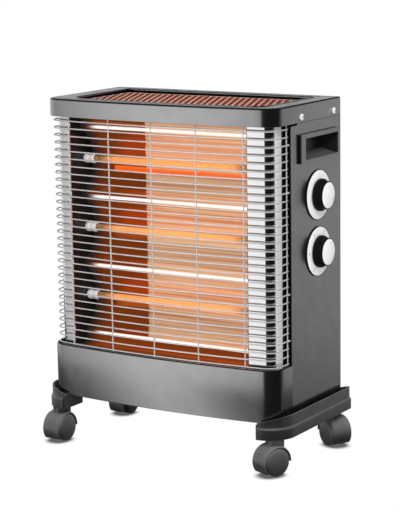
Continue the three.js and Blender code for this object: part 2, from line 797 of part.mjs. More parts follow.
// Horizontal wires bent round both corners, welded to uprights that stand behind them
function frontGuard() {
  const uprightInset = guardInset + wireSize - uprightSink;
  const half = wireSize / 2;
  const wires = [];
  for (let i = 0; i < wireCount; i += 1) {
    wires.push(sweep(wrapPath(guardSideY, 3, 4), wireSection(-guardInset, bottomWireZ + i * wirePitch)));
  }
  const uprights = [];
  for (let i = 0; i < uprightCount; i += 1) {
    const x = chamberCentreX + (i - (uprightCount - 1) / 2) * uprightPitch;
    uprights.push(guardUpright(x, frontDepthAt(x, uprightInset), Math.asin(x / bowRadius)));
  }
  for (const side of [1, -1]) {
    uprights.push(guardUpright(side * (sideX - uprightInset), guardSideY - wireSize, (side * Math.PI) / 2));
  }
  const hooks = [];
  for (const wire of hookedWires) {
    const z = topWireZ - (wire - 1) * wirePitch;
    for (const x of [sideX - guardInset, guardInset - sideX]) {
      hooks.push(block(
        x - half, x + half * 0.2, guardSideY - 2, guardSideY + hookLength,
        z - half * 0.6, z + half * 0.6,
      ));
    }
  }
  return join(...uprights, ...wires, ...hooks);
}

// ---------------------------------------------------------------------------
// Heating chamber
// ---------------------------------------------------------------------------

// Section of the polished reflector: a floor, ridges with round fronts and round troughs
function reflector() {
  const ridges = tubeCount + 1;
  const front = [[reflectorFloorFrontY, reflectorFloorZ], [ridgeY, reflectorFloorZ]];
  for (let ridge = 0; ridge < ridges; ridge += 1) {
    const z = bottomRidgeZ + ridge * ridgePitch;
    const half = ridgeHeight / 2;
    front.push(...archedLine(z - half, z + half, -ridgeCrown, 3));
    if (ridge === ridges - 1) break;
    front.push(...archedLine(z + half, z + ridgePitch - half, troughDepth, 8).slice(1, -1));
  }
  front.push([ridgeY, reflectorTopZ]);
  const outline = [...front, ...offsetLine(front, reflectorSheet).reverse()];
  return barAlongX(outline, chamberLeftX + clearance, chamberRightX - clearance);
}

// Circular arc of [y, z] points from z0 up to z1 on the ridges' plane, rising by depth
function archedLine(z0, z1, depth, steps) {
  const half = (z1 - z0) / 2;
  const radius = (half ** 2 + depth ** 2) / (2 * Math.abs(depth));
  const bend = Math.asin(half / radius);
  return Array.from({ length: steps + 1 }, (_, i) => {
    const angle = bend * ((2 * i) / steps - 1);
    const rise = Math.sign(depth) * radius * (Math.cos(angle) - Math.cos(bend));
    return [ridgeY + rise, z0 + half + radius * Math.sin(angle)];
  });
}

// The same polyline moved to its right-hand side by a distance, with mitred corners
function offsetLine(line, distance) {
  const points = line.map(([y, z]) => new THREE.Vector2(y, z));
  const side = (a, b) => {
    const direction = b.clone().sub(a).normalize();
    return new THREE.Vector2(direction.y, -direction.x);
  };
  return points.map((point, i) => {
    const before = i > 0 ? side(points[i - 1], point) : side(point, points[i + 1]);
    const after = i + 1 < points.length ? side(point, points[i + 1]) : before;
    const mitre = before.clone().add(after).normalize();
    const moved = point.clone().addScaledVector(mitre, distance / mitre.dot(after));
    return [moved.x, moved.y];
  });
}

// Polished wing from the chamber's edge round the corner to the side panel
const cornerColumn = (edgeX) => sweep(
  cornerPath(edgeX, panelFrontY - clearance),
  [
    [-columnInset, columnBottomZ], [-columnInset, columnTopZ],
    [-columnInset - columnSheet, columnTopZ], [-columnInset - columnSheet, columnBottomZ],
  ],
);

// Upright plate that closes one end of the chamber, stands on the base pan and
// holds the ceramic ends of the tubes
function tubeBracket(edgeX) {
  const behindColumn = columnInset + columnSheet + clearance;
  const frontFace = frontDepthAt(Math.min(edgeX + bracketFlange, bowHalfWidth), behindColumn);
  const bottom = panTopZ + clearance;
  const web = block(edgeX, edgeX + sheet, frontFace, bracketBackY, bottom, bracketTopZ);
  const front = block(edgeX, edgeX + bracketFlange, frontFace, frontFace + sheet, bottom, bracketTopZ);
  const back = block(edgeX, edgeX + bracketFlange, bracketBackY - sheet, bracketBackY, bottom, bracketTopZ);
  const foot = block(edgeX, edgeX + bracketFlange, frontFace, bracketBackY, bottom, bottom + sheet);
  const holes = tubeHeights().map((z) =>
    rod(boreFor(capSpigotRadius, 10), [edgeX - over, tubeY, z], [edgeX + sheet + over, tubeY, z], 10));
  return cut(join(web, front, back, foot), ...holes);
}

function tubeHeights() {
  const lowest = bottomRidgeZ + ridgePitch / 2 + tubeOverMiddle;
  return Array.from({ length: tubeCount }, (_, i) => lowest + i * ridgePitch);
}

// Along +Z from the bracket's face: two round lobes with a waist, a bore for the tube
// and a spigot through the bracket with a small hole for the lead
const endCap = () => revolve([
  [boreFor(leadRadius, 10), -capSpigotLength],
  [capSpigotRadius, -capSpigotLength],
  [capSpigotRadius, clearance],
  [capLobeRadius, clearance],
  [capLobeRadius, capLobeLength],
  [capNeckRadius, capLobeLength + capNeckLength / 2],
  [capLobeRadius, capLobeLength + capNeckLength],
  [capLobeRadius, capInnerLength],
  [boreFor(tubeRadius, 10), capInnerLength],
  [boreFor(tubeRadius, 10), capEndWall],
  [boreFor(leadRadius, 10), capEndWall],
], 10);

const quartzTube = () => {
  const half = chamberWidth / 2 - capEndWall - clearance;
  return revolve([
    [tubeRadius - tubeWall, -half],
    [tubeRadius, -half],
    [tubeRadius, half],
    [tubeRadius - tubeWall, half],
  ], 12);
};

// Closely wound heating coil with a straight lead at each end
const heatingCoil = () => {
  const half = chamberWidth / 2 - capInnerLength;
  const leadEnd = chamberWidth / 2 + capSpigotLength + leadReach;
  return revolve([
    [0, -leadEnd], [leadRadius, -leadEnd], [leadRadius, -half], [coilRadius, -half],
    [coilRadius, half], [leadRadius, half], [leadRadius, leadEnd], [0, leadEnd],
  ], 8);
};

// ---------------------------------------------------------------------------
// Handles and controls
// ---------------------------------------------------------------------------

// Moulded finger cup with a bezel that stands proud of the panel
function handleCup() {
  const bezel = block(sideX, sideX + handleProud, handleY[0], handleY[1], handleZ[0], handleZ[1]);
  const faceX = sideX + handleProud;
  const ring = (x, grow) => [
    [handleOpeningY[0] - grow, handleOpeningZ[0] - grow],
    [handleOpeningY[1] + grow, handleOpeningZ[0] - grow],
    [handleOpeningY[1] + grow, handleOpeningZ[1] + grow],
    [handleOpeningY[0] - grow, handleOpeningZ[1] + grow],
  ].map(([y, z]) => new THREE.Vector3(x, y, z));
  const floorX = faceX - handleDepth;
  const shell = loft([
    ring(floorX - handleWall, handleWall - handleTaper),
    ring(panelInnerX, handleWall),
    ring(sideX + over, handleWall),
  ]);
  const cavity = loft([ring(floorX, -handleTaper), ring(panelInnerX, 0), ring(faceX + over, 0)]);
  return cut(join(shell, bezel), cavity);
}

// Flat round dial plate with a bevelled rim, along +Z from the panel's face
const dialPlate = () => revolve([
  [boreFor(bushingRadius, 14), clearance],
  [dialRadius, clearance],
  [dialRadius, dialThickness - dialBevel / 2],
  [dialRadius - dialBevel, dialThickness],
  [boreFor(bushingRadius, 14), dialThickness],
], 24);

// Round knob, along +Z from the panel's face, with a blind bore for the shaft and a
// small pointer dimple at +Y
function knob() {
  const back = dialThickness + clearance + knobLift;
  const waist = back + knobBaseHeight;
  const body = revolve([
    [0, knobFaceOut - knobCap],
    [boreFor(shaftRadius, 12), knobFaceOut - knobCap],
    [boreFor(shaftRadius, 12), back],
    [knobBaseRadius, back],
    [knobBaseRadius - knobDraft, waist],
    [knobTopRadius + knobDraft, waist + knobShoulder],
    [knobTopRadius, knobFaceOut - knobEdge],
    [knobTopRadius - knobEdge, knobFaceOut],
    [0, knobFaceOut],
  ], 24);
  const dimple = rod(pointerRadius, [0, pointerFromCentre, knobFaceOut - pointerDepth],
    [0, pointerFromCentre, knobFaceOut + over], 8);
  return cut(body, dimple);
}

// Shaft, bushing and mounting plate that both controls have, along +Z from the panel
const panelBack = -clearance - sheet;
const mountFace = panelBack - clearance;
const bodyFace = mountFace - mountThickness / 2;

function controlShaft() {
  const half = mountSize / 2;
  const behind = panelBack - bushingBehind;
  return join(
    rod(shaftRadius, [0, 0, behind], [0, 0, knobFaceOut - knobCap - clearance], 10),
    rod(bushingRadius, [0, 0, behind], [0, 0, dialThickness], 12),
    block(-half, half, -half, half, mountFace - mountThickness, mountFace),
  );
}

// Capillary thermostat: round cup behind the mounting plate and the capillary's boss
function thermostatBody() {
  const half = capillarySize / 2;
  return join(
    controlShaft(),
    rod(thermostatRadius, [0, 0, -thermostatDepth], [0, 0, bodyFace], 16),
    block(-half, half, -thermostatRadius - capillarySize, half - thermostatRadius,
      half - thermostatDepth, half + capillarySize - thermostatDepth),
  );
}

// Rotary selector switch: square housing with push-on tabs
function selectorBody() {
  const half = selectorSize / 2;
  const tabs = centred(tabCount, tabPitch).map((x) => block(
    x - tabWidth / 2, x + tabWidth / 2, -tabThickness / 2, tabThickness / 2,
    -selectorDepth - tabLength, over - selectorDepth,
  ));
  return join(controlShaft(), block(-half, half, -half, half, -selectorDepth, bodyFace), ...tabs);
}

// ---------------------------------------------------------------------------
// Electrical pieces in the base
// ---------------------------------------------------------------------------

// Tip-over switch: a housing with a round ball chamber and two fixing ears
function tipOverSwitch() {
  const [halfX, halfY, drum] = [tipSwitchWidth / 2, tipSwitchLength / 2, tipDrumLength / 2];
  const [earX, earY] = [tipEarWidth / 2, tipEarLength / 2];
  const holes = [1, -1].map((side) => {
    const y = side * (earY - fixingFromEnd);
    return rod(fixingRadius, [0, y, -over], [0, y, tipEarThickness + over], 6);
  });
  return cut(
    join(
      block(-halfX, halfX, -halfY, halfY, 0, tipSwitchHeight),
      rod(tipDrumRadius, [-drum, 0, tipDrumZ], [drum, 0, tipDrumZ], 12),
      block(-earX, earX, -earY, earY, 0, tipEarThickness),
    ),
    ...holes,
  );
}

// Terminal block with a screw tower and a wire bore for each way
function terminalBlock() {
  const halfX = (terminalCount * terminalPitch) / 2;
  const halfY = terminalWidth / 2;
  const ways = centred(terminalCount, terminalPitch);
  const towers = ways.map((x) =>
    rod(terminalTowerRadius, [x, 0, terminalHeight - over], [x, 0, terminalHeight + terminalTowerHeight], 8));
  const bores = ways.map((x) =>
    rod(terminalBoreRadius, [x, -halfY - over, terminalBoreZ], [x, halfY + over, terminalBoreZ], 6));
  return cut(join(block(-halfX, halfX, -halfY, halfY, 0, terminalHeight), ...towers), ...bores);
}

// Cord gland, along +Z out of the rear cover: flange, barrel and inner collar
const cordGland = () => revolve([
  [cordBoreRadius, -sheet - glandBehind],
  [glandRadius, -sheet - glandBehind],
  [glandRadius, clearance],
  [glandRadius + glandFlangeWidth, clearance],
  [glandRadius + glandFlangeWidth, glandFlangeThickness],
  [glandRadius - glandTaper, glandFlangeThickness + clearance],
  [glandRadius - 2 * glandTaper, glandReach],
  [cordBoreRadius, glandReach],
], 12);

// Pan-head screw, along +Z, its head seated on the cover
const coverScrew = () => revolve([
  [0, -screwLength],
  [screwShankRadius, -screwLength],
  [screwShankRadius, clearance],
  [screwHeadRadius, clearance],
  [screwHeadRadius, clearance + screwHeadHeight * 0.4],
  [screwHeadRadius * 0.6, clearance + screwHeadHeight],
  [0, clearance + screwHeadHeight],
], 10);

// ---------------------------------------------------------------------------
// Foot rails and castors
// ---------------------------------------------------------------------------

// Plan of a rail, moved in by inset: straight inner side, one large front corner that
// begins at the cut inner end, and a small back corner
function railOutline(inset) {
  const outerX = sideX + railOverhang + railStep;
  const radius = outerX - railInnerX;
  const front = footY - railFrontOverhang - railStep;
  const back = backY + railBackOverhang + railStep;
  const outline = [new THREE.Vector2(railInnerX + Math.min(inset, railWall), back - inset)];
  const frontSteps = 6;
  for (let i = 0; i <= frontSteps; i += 1) {
    const angle = -Math.PI / 2 + (i / frontSteps) * (Math.PI / 2);
    outline.push(new THREE.Vector2(
      railInnerX + Math.min(inset, railWall) + (radius - inset - Math.min(inset, railWall)) * Math.cos(angle),
      front + radius + (radius - inset) * Math.sin(angle),
    ));
  }
  const backRadius = railBackRadius - Math.min(inset, railBackRadius / 2);
  for (const step of [0, 1, 2, 3]) {
    const angle = (step / 3) * (Math.PI / 2);
    outline.push(new THREE.Vector2(
      outerX - inset - backRadius * (1 - Math.cos(angle)),
      back - inset - backRadius * (1 - Math.sin(angle)),
    ));
  }
  return outline;
}

// Moulded rail: two bands with a bevel between them, a rim round the cabinet's foot,
// and a ribbed hollow underneath with a socket for each castor
function footRail() {
  const innerFace = (inset) => railOutline(inset).map((point) =>
    new THREE.Vector2(Math.max(point.x, railInnerX), point.y));
  const bands = loft([
    raised(innerFace(railEdge), railBottomZ),
    raised(innerFace(0), railBottomZ + railEdge),
    raised(innerFace(0), railStepZ - railEdge),
    raised(innerFace(railStep), railStepZ + railEdge),
    raised(innerFace(railStep), railRimZ),
  ]);
  const seatOutline = railOutline(railStep + railWall);
  const openEdge = railInnerX + railWall + clearance;
  const seat = plate(seatOutline.map((point) =>
    new THREE.Vector2(point.x < openEdge ? railInnerX - over : point.x, point.y)), deckZ, railRimZ + over);
  const rimX = sideX + railOverhang - railWall;
  const slope = barAlongY([
    [railInnerX - over, railFrontRimZ],
    [rimX, railRimZ],
    [rimX, railRimZ + over],
    [railInnerX - over, railRimZ + over],
  ], -cabinetDepth, cabinetDepth);
  const hollow = plate(railOutline(railWall + railStep), railBottomZ - over, deckZ - railDeck);
  const places = [-castorY, castorY];
  const inside = places.map((y) =>
    rod(stemBossRadius, [castorX, y, railBottomZ], [castorX, y, deckZ - over], 12));
  const waistEnd = backY - railPadLength;
  const slopeEnd = waistEnd + railPadSlope;
  const waist = plate([
    [railInnerX - over, -slopeEnd], [railWaistX, -waistEnd],
    [railWaistX, waistEnd], [railInnerX - over, slopeEnd],
  ].map((corner) => new THREE.Vector2(...corner)), railBottomZ - over, railRimZ + over);
  const waistWall = plate([
    [railInnerX + railWall / 5, -slopeEnd], [railWaistX + railWall, -waistEnd],
    [railWaistX + railWall, waistEnd], [railInnerX + railWall / 5, slopeEnd],
  ].map((corner) => new THREE.Vector2(...corner)), railBottomZ, deckZ - railDeck / 2);
  inside.push(waistWall);
  const ribHalf = railRibThickness / 2;
  for (let i = 1; i <= railRibCount; i += 1) {
    const y = -waistEnd + (2 * waistEnd * i) / (railRibCount + 1);
    inside.push(block(railWaistX + over, sideX + railOverhang, y - ribHalf, y + ribHalf,
      railBottomZ + over, deckZ - over));
  }
  const sockets = places.map((y) =>
    rod(boreFor(stemRadius, 10), [castorX, y, railBottomZ - over], [castorX, y, stemTopZ + clearance], 10));
  return cut(join(cut(bands, seat, slope, hollow), ...inside), waist, ...sockets);
}

// Outline of [x, z] points run along Y
const barAlongY = (outline, y0, y1) =>
  plate(outline.map(([x, z]) => new THREE.Vector2(x, z)), y0, y1)
    .applyMatrix4(new THREE.Matrix4().set(1, 0, 0, 0, 0, 0, 1, 0, 0, 1, 0, 0, 0, 0, 0, 1));

// Castor pieces stand at the swivel axis on the floor, with the axle along X and the
// wheels trailing towards +Y
function castorHood() {
  const hoodRadius = wheelRadius + hoodGap + hoodWall;
  const half = hoodWeb / 2 + wheelWidth + hoodOverWheels;
  const [y, z] = [castorTrail, wheelRadius];
  const drum = rod(hoodRadius, [-half, y, z], [half, y, z], 20);
  const neck = rod(neckRadius, [0, 0, z + neckSink], [0, 0, railBottomZ - clearance], 16);
  const pockets = [1, -1].map((side) => rod(
    wheelRadius + hoodGap,
    [side * (hoodWeb / 2), y, z],
    [side * (half + hoodRadius), y, z],
    20,
  ));
  const below = new THREE.BoxGeometry(4 * half, 4 * hoodRadius, 2 * hoodRadius)
    .translate(0, 0, -hoodRadius)
    .rotateX(-hoodSlant)
    .translate(0, y, z - axleRadius - hoodUnderAxle);
  const axleReach = hoodWeb / 2 + wheelWidth - axleShort;
  const axle = rod(axleRadius, [-axleReach, y, z], [axleReach, y, z], 10);
  const bore = rod(boreFor(stemRadius, 10), [0, 0, stemTopZ - stemLength - clearance],
    [0, 0, railBottomZ + over], 10);
  return cut(join(cut(join(drum, neck), ...pockets, below), axle), bore);
}

const castorStem = () => revolve([
  [0, stemTopZ - stemLength],
  [stemRadius, stemTopZ - stemLength],
  [stemRadius, stemTopZ - stemPoint],
  [stemRadius - stemPoint / 2, stemTopZ],
  [0, stemTopZ],
], 10);

// One domed wheel, along +Z away from the web, with a blind bore for the axle
const castorWheel = () => {
  const inner = hoodWeb / 2 + clearance;
  const outer = hoodWeb / 2 + wheelWidth;
  return revolve([
    [0, outer],
    [boreFor(axleRadius, 10), outer],
    [boreFor(axleRadius, 10), inner],
    [wheelRadius, inner],
    [wheelRadius, outer - wheelEdge],
    [wheelRadius * wheelShoulder, outer + wheelDome / 2],
    [0, outer + wheelDome],
  ], 20);
};

// ---------------------------------------------------------------------------
// Assembly
// ---------------------------------------------------------------------------

const heater = new THREE.Group();
heater.name = 'halogen_heater';

function piece(name, shape, material, parent = heater) {
  const mesh = new THREE.Mesh(toGeometry(shape), material);
  mesh.name = name;
  parent.add(mesh);
  return mesh;
}

// A group at a place, turned so that its +Z points along +X or -X
function sideways(direction, x, y, z) {
  const group = new THREE.Group();
  group.position.set(x, y, z);
  group.rotation.y = (direction * Math.PI) / 2;
  heater.add(group);
  return group;
}

piece('top_cover', topCover(), materials.greyPaint);
piece('top_grille', topGrille(), materials.copperMesh);
piece('front_guard', frontGuard(), materials.chrome);
piece('front_skirt', frontSkirt(), materials.greyPaint);
piece('right_side_panel', sidePanel(true), materials.greyPaint);
piece('left_side_panel', mirrored(sidePanel(false)), materials.greyPaint);
piece('rear_cover', rearCover(), materials.greyPaint);
piece('base_pan', basePan(), materials.zincSteel);

piece('reflector', reflector(), materials.copperMirror);
piece('right_column', cornerColumn(chamberRightX), materials.chrome);
piece('left_column', mirrored(cornerColumn(-chamberLeftX)), materials.chrome);
piece('right_tube_bracket', tubeBracket(chamberRightX), materials.darkSteel);
piece('left_tube_bracket', mirrored(tubeBracket(-chamberLeftX)), materials.darkSteel);

tubeHeights().forEach((z, i) => {
  const number = tubeCount - i; // counted from the top
  const middle = sideways(1, chamberCentreX, tubeY, z);
  piece(`quartz_tube_${number}`, quartzTube(), materials.glowingQuartz, middle);
  piece(`heating_coil_${number}`, heatingCoil(), materials.resistanceWire, middle);
  piece(`left_end_cap_${number}`, endCap(), materials.ceramic, sideways(1, chamberLeftX, tubeY, z));
  piece(`right_end_cap_${number}`, endCap(), materials.ceramic, sideways(-1, chamberRightX, tubeY, z));
});

piece('right_handle_cup', handleCup(), materials.blackPlastic);
piece('left_handle_cup', mirrored(handleCup()), materials.blackPlastic);

const controls = [
  { name: 'thermostat', z: thermostatZ, pointer: thermostatPointer, body: thermostatBody() },
  { name: 'selector', z: selectorZ, pointer: selectorPointer, body: selectorBody() },
];
for (const { name, z, pointer, body } of controls) {
  const place = sideways(1, sideX, controlY, z);
  piece(`${name}_dial_plate`, dialPlate(), materials.silverPlate, place);
  piece(`${name}_switch`, body, materials.palePlastic, place);
  // In the group's frame +Y runs towards the back of the heater and -X points up
  const turned = piece(`${name}_knob`, knob(), materials.blackPlastic, place);
  turned.rotation.z = Math.PI / 2 - THREE.MathUtils.degToRad(pointer);
}

for (const [side, direction] of [['right', 1], ['left', -1]]) {
  screwY.forEach((y, i) => {
    const place = sideways(direction, direction * sideX, y, screwZ);
    piece(`${side}_${i === 0 ? 'front' : 'rear'}_screw`, coverScrew(), materials.brightScrew, place);
  });
}

const gland = new THREE.Group();
gland.position.set(glandX, backY, glandZ);
gland.rotation.x = -Math.PI / 2;
heater.add(gland);
piece('cord_gland', cordGland(), materials.blackPlastic, gland);

const inBase = panTopZ + clearance;
piece('tip_over_switch', tipOverSwitch(), materials.palePlastic)
  .position.set(sideX - tipSwitchFromSide, tipSwitchY, inBase);
piece('terminal_block', terminalBlock(), materials.palePlastic)
  .position.set(sideX - terminalFromSide, backY - terminalFromBack, inBase);

piece('right_foot_rail', footRail(), materials.blackPlastic);
piece('left_foot_rail', mirrored(footRail()), materials.blackPlastic);

const castorPlaces = [
  ['right_front', castorX, -castorY],
  ['left_front', -castorX, -castorY],
  ['right_rear', castorX, castorY],
  ['left_rear', -castorX, castorY],
];
castorPlaces.forEach(([name, x, y], i) => {
  const castor = new THREE.Group();
  castor.position.set(x, y, 0);
  castor.rotation.z = THREE.MathUtils.degToRad(castorHeadings[i]);
  heater.add(castor);
  piece(`${name}_castor_hood`, castorHood(), materials.blackPlastic, castor);
  piece(`${name}_castor_stem`, castorStem(), materials.zincSteel, castor);
  for (const [wheel, direction] of [['wheel_a', 1], ['wheel_b', -1]]) {
    const hub = new THREE.Group();
    hub.position.set(0, castorTrail, wheelRadius);
    hub.rotation.y = (direction * Math.PI) / 2;
    castor.add(hub);
    piece(`${name}_castor_${wheel}`, castorWheel(), materials.blackPlastic, hub);
  }
});

// Stand the finished heater with the middle of its overall box over the origin
heater.updateMatrixWorld(true);
const overall = new THREE.Box3().setFromObject(heater, true);
const middle = overall.getCenter(new THREE.Vector3());
heater.position.set(-middle.x, -middle.y, -overall.min.z);
heater.updateMatrixWorld(true);

export default heater;
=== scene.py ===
"""Finished surfaces of a free-standing quartz heater on castors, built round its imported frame.

All lengths are in metres. +Z is up, the glowing front faces -Y and the controls are at +X.
"""

import json
import math

import bmesh
import bpy
from bpy.props import FloatProperty, FloatVectorProperty, IntProperty, PointerProperty
from mathutils import Matrix, Vector


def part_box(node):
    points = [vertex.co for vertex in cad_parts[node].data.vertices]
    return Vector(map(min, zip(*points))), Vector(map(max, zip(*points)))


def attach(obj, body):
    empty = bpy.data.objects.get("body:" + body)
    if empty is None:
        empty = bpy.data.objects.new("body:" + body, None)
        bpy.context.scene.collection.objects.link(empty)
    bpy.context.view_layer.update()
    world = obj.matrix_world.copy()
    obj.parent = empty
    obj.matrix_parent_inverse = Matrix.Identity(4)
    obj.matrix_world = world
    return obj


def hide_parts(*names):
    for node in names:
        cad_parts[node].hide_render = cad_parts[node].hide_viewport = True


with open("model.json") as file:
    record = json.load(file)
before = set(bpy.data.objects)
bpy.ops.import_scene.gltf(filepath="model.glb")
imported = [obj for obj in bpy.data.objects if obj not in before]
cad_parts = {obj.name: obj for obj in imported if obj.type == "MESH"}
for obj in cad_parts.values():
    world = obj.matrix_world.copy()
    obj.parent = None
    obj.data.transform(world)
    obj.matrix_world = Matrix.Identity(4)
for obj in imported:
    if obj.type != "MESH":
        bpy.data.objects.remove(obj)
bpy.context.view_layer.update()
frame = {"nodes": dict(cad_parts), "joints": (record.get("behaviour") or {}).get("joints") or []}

bl_info = {
    "name": "Quartz heater finish",
    "version": (1, 0, 0),
    "blender": (4, 5, 0),
    "location": "View3D > Sidebar > Heater",
    "description": "Dresses the heater's frame with its sheet metal, wires, glowing tubes and castors",
    "category": "Object",
}

MM = 0.001
SMALL = 1e-5

# Places that the frame gives
COVER_LOW, COVER_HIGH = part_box("top_cover")
SKIRT_LOW, SKIRT_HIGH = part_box("front_skirt")
GUARD_LOW, GUARD_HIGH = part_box("front_guard")
GRILLE_LOW, GRILLE_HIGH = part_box("top_grille")
REFLECTOR_LOW, REFLECTOR_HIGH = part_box("reflector")
COLUMN_LOW, COLUMN_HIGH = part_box("right_column")
LEFT_COLUMN_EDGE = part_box("left_column")[1].x
RAIL_LOW, RAIL_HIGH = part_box("right_foot_rail")
TUBE_LOW, TUBE_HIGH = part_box("quartz_tube_1")
HANDLE_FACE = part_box("right_handle_cup")[1].x
COVER_FOOT = SKIRT_LOW.z
MIDDLE_X = (COVER_LOW.x + COVER_HIGH.x) / 2
SIDE = (COVER_HIGH.x - COVER_LOW.x) / 2
FRONT_Y = COVER_LOW.y
BACK_Y = COVER_HIGH.y
TOP_Z = COVER_HIGH.z
TUBE_NUMBERS = (1, 2, 3)
CASTORS = ("right_front", "left_front", "right_rear", "left_rear")

# The cabinet's path in plan: half width of the bow, its radius and the corners' radius
CORNER_RADIUS = 26 * MM
BACK_RADIUS = 3 * MM
FRONT_BOW = 10.2 * MM
BOW_HALF = SIDE - CORNER_RADIUS
BOW_RADIUS = (BOW_HALF**2 + FRONT_BOW**2) / (2 * FRONT_BOW)
BOW_CENTRE = FRONT_Y + BOW_RADIUS
CABINET_PATH = (BOW_HALF, BOW_RADIUS, CORNER_RADIUS)

# Pressed sheets and the opening in the top cover
SHEET = 1.2 * MM
COVER_EDGE = 3 * MM
OPENING_SIDE = 36 * MM
OPENING_FRONT = 29 * MM
OPENING_BACK = 24 * MM
OPENING_RADIUS = 22 * MM
OPENING_LIP = 4.5 * MM
OPENING_PATH = (SIDE - OPENING_SIDE - OPENING_RADIUS, BOW_RADIUS - OPENING_FRONT, OPENING_RADIUS)
MESH_TOP = GRILLE_HIGH.z

# Guard wires, counted from the top
WIRE_COUNT = 31
WIRE_PITCH = 12 * MM
BOTTOM_WIRE = 165 * MM
GUARD_INSET = 5.4 * MM
UPRIGHT_PITCH = 80 * MM
UPRIGHT_COUNT = 5
HOOKED_WIRES = (3, 9, 22, 28)

# Heating chamber
COLUMN_INSET = 13 * MM
RIDGE_Y = BACK_Y - 168.5 * MM
RIDGE_PITCH = 111.5 * MM
RIDGE_WIDTH = 6.5 * MM
TROUGH_DEPTH = 30 * MM
BOTTOM_RIDGE = 178.5 * MM
# Where the reflector's painted dark reflection gives way to its painted glow, and where its painted
# reflection of the top tube begins
DARK_TO_LIT = MIDDLE_X - 80 * MM
TUBE_REFLECTION_START = MIDDLE_X - 125 * MM

# Foot rails and castors
RAIL_STEP = 2.5 * MM
RAIL_WALL = 2.5 * MM
RAIL_INNER = MIDDLE_X + SIDE - 28.5 * MM
RAIL_BACK_RADIUS = 12 * MM
RAIL_FRONT_RIM = 82.5 * MM
CASTOR_TRAIL = 6 * MM
WHEEL_RADIUS = 22 * MM

# Brightness of the room that bright surfaces mirror, by degrees round from the front: at eye
# height and above, and below the chamber's foot
ROOM_LEVEL = (
    (-179, 0.46), (-150, 0.8), (-75, 0.8), (-56, 0.5), (-49, 0.48), (-42, 0.95), (-34, 1.2), (-27, 1.18),
    (-18, 0.9), (-14, 0.88), (-8, 0.02), (60, 0.004), (116, 0.01), (132, 0.2), (143, 0.26), (147, 0.46),
    (179, 0.46),
)
ROOM_LOW = (
    (-179, 0.1), (-150, 0.12), (-60, 0.05), (-50, 0.01), (-46, 0.06), (-41, 0.6), (-37, 1.0), (-32, 1.4),
    (-28, 0.8), (-24, 0.1), (-20, 0.02), (-12, 0.01), (60, 0.01), (116, 0.01), (130, 0.12), (141, 0.05),
    (147, 0.02), (179, 0.15),
)


# ---------------------------------------------------------------------------
# Sizes and colours that a user would change
# ---------------------------------------------------------------------------


def length(name, description, default):
    return FloatProperty(name=name, description=description, default=default, unit="LENGTH", precision=4)


def colour(name, description, default):
    return FloatVectorProperty(
        name=name, description=description, default=default, subtype="COLOR", size=3, min=0, max=1
    )


class HeaterSizes(bpy.types.PropertyGroup):
    """Sizes of the finished surfaces."""

    wire: length("Guard wire", "Thickness of the guard's round wires", 2.3 * MM)
    mesh_long: length("Mesh long way", "Length of one opening of the outlet mesh, front to back", 26 * MM)
    mesh_short: length("Mesh short way", "Width of one opening of the outlet mesh", 11.3 * MM)
    mesh_strand: length("Mesh strand", "Width of one strand of the outlet mesh", 1.3 * MM)
    coil_wire: length("Coil wire", "Thickness of the heating wire", 0.7 * MM)
    coil_radius: length("Coil radius", "Radius of the heating coil's middle line", 3.2 * MM)
    coil_turns: IntProperty(name="Coil turns", description="Turns of each heating coil", default=150, min=10)
    handle_bevel: length("Handle edges", "Edge radius of the handle cups", 0.6 * MM)
    sheet_bevel: length("Sheet edges", "Edge radius of the folded sheets", 0.5 * MM)
    fine_bevel: length("Fine edges", "Edge radius of the brackets and the inner parts", 0.3 * MM)


class HeaterColours(bpy.types.PropertyGroup):
    """Colours of the finishes."""

    lacquer: colour("Lacquer", "Grey metallic lacquer of the cabinet", (0.40, 0.40, 0.404))
    copper: colour("Mesh", "Copper-red lacquer of the outlet mesh", (0.50, 0.085, 0.035))
    chrome: colour("Chrome", "Plating of the guard and columns", (0.93, 0.935, 0.94))
    mirror: colour("Reflector", "Polished sheet behind the tubes", (0.72, 0.44, 0.27))
    # Painted dark reflection on the reflector's far end and below its bottom ridge
    painted_dark_reflection: colour("Painted dark reflection", "Painted dark reflection on the reflector's far end and below its bottom ridge", (0.21, 0.042, 0.007))
    glow: colour("Glow", "Light of the hot coils", (1.0, 0.33, 0.07))
    plastic: colour("Plastic", "Black of the moulded parts", (0.014, 0.014, 0.015))
    handle: colour("Handles", "Dark grey of the finger grips", (0.12, 0.12, 0.122))
    dial: colour("Dial", "White of the dials and knob faces", (0.8, 0.8, 0.805))
    print_ink: colour("Dial print", "Grey of the marks on the dials", (0.07, 0.07, 0.075))
    ceramic: colour("Ceramic", "Off-white of the tube ends", (0.95, 0.95, 0.94))
    steel: colour("Steel", "Bare sheet inside the cabinet", (0.52, 0.52, 0.53))


class HeaterStage(bpy.types.PropertyGroup):
    """Camera and studio light."""

    azimuth: FloatProperty(name="Azimuth", description="Camera's turn round the heater", default=31.968)
    elevation: FloatProperty(name="Elevation", description="Camera's height over the horizon", default=10.594)
    roll: FloatProperty(name="Roll", description="Camera's tilt", default=-0.866)
    distance: length("Distance", "Camera's distance from its target", 2923.545 * MM)
    lens: FloatProperty(name="Lens", description="Focal length in millimetres", default=128.963)
    key: FloatProperty(name="Key light", description="Power of the large front light in watts", default=90.0)
    fill: FloatProperty(name="Fill", description="Strength of the surrounding light", default=0.75, min=0)


def sizes():
    return bpy.context.scene.heater_sizes


def colours():
    return bpy.context.scene.heater_colours


# ---------------------------------------------------------------------------
# Shader tools
# ---------------------------------------------------------------------------


def surface(name, base, roughness, metallic=0.0, **sockets):
    """A shader with its plain settings on its own sockets, made once for each name."""
    finish = f"{name}_finish"
    if finish in bpy.data.materials:
        return bpy.data.materials[finish], None
    material = bpy.data.materials.new(finish)
    material.use_nodes = True
    shader = material.node_tree.nodes["Principled BSDF"]
    shader.inputs["Base Color"].default_value = (*base, 1)
    shader.inputs["Roughness"].default_value = roughness
    shader.inputs["Metallic"].default_value = metallic
    for socket, value in sockets.items():
        shader.inputs[socket.replace("_", " ")].default_value = value
    return material, shader


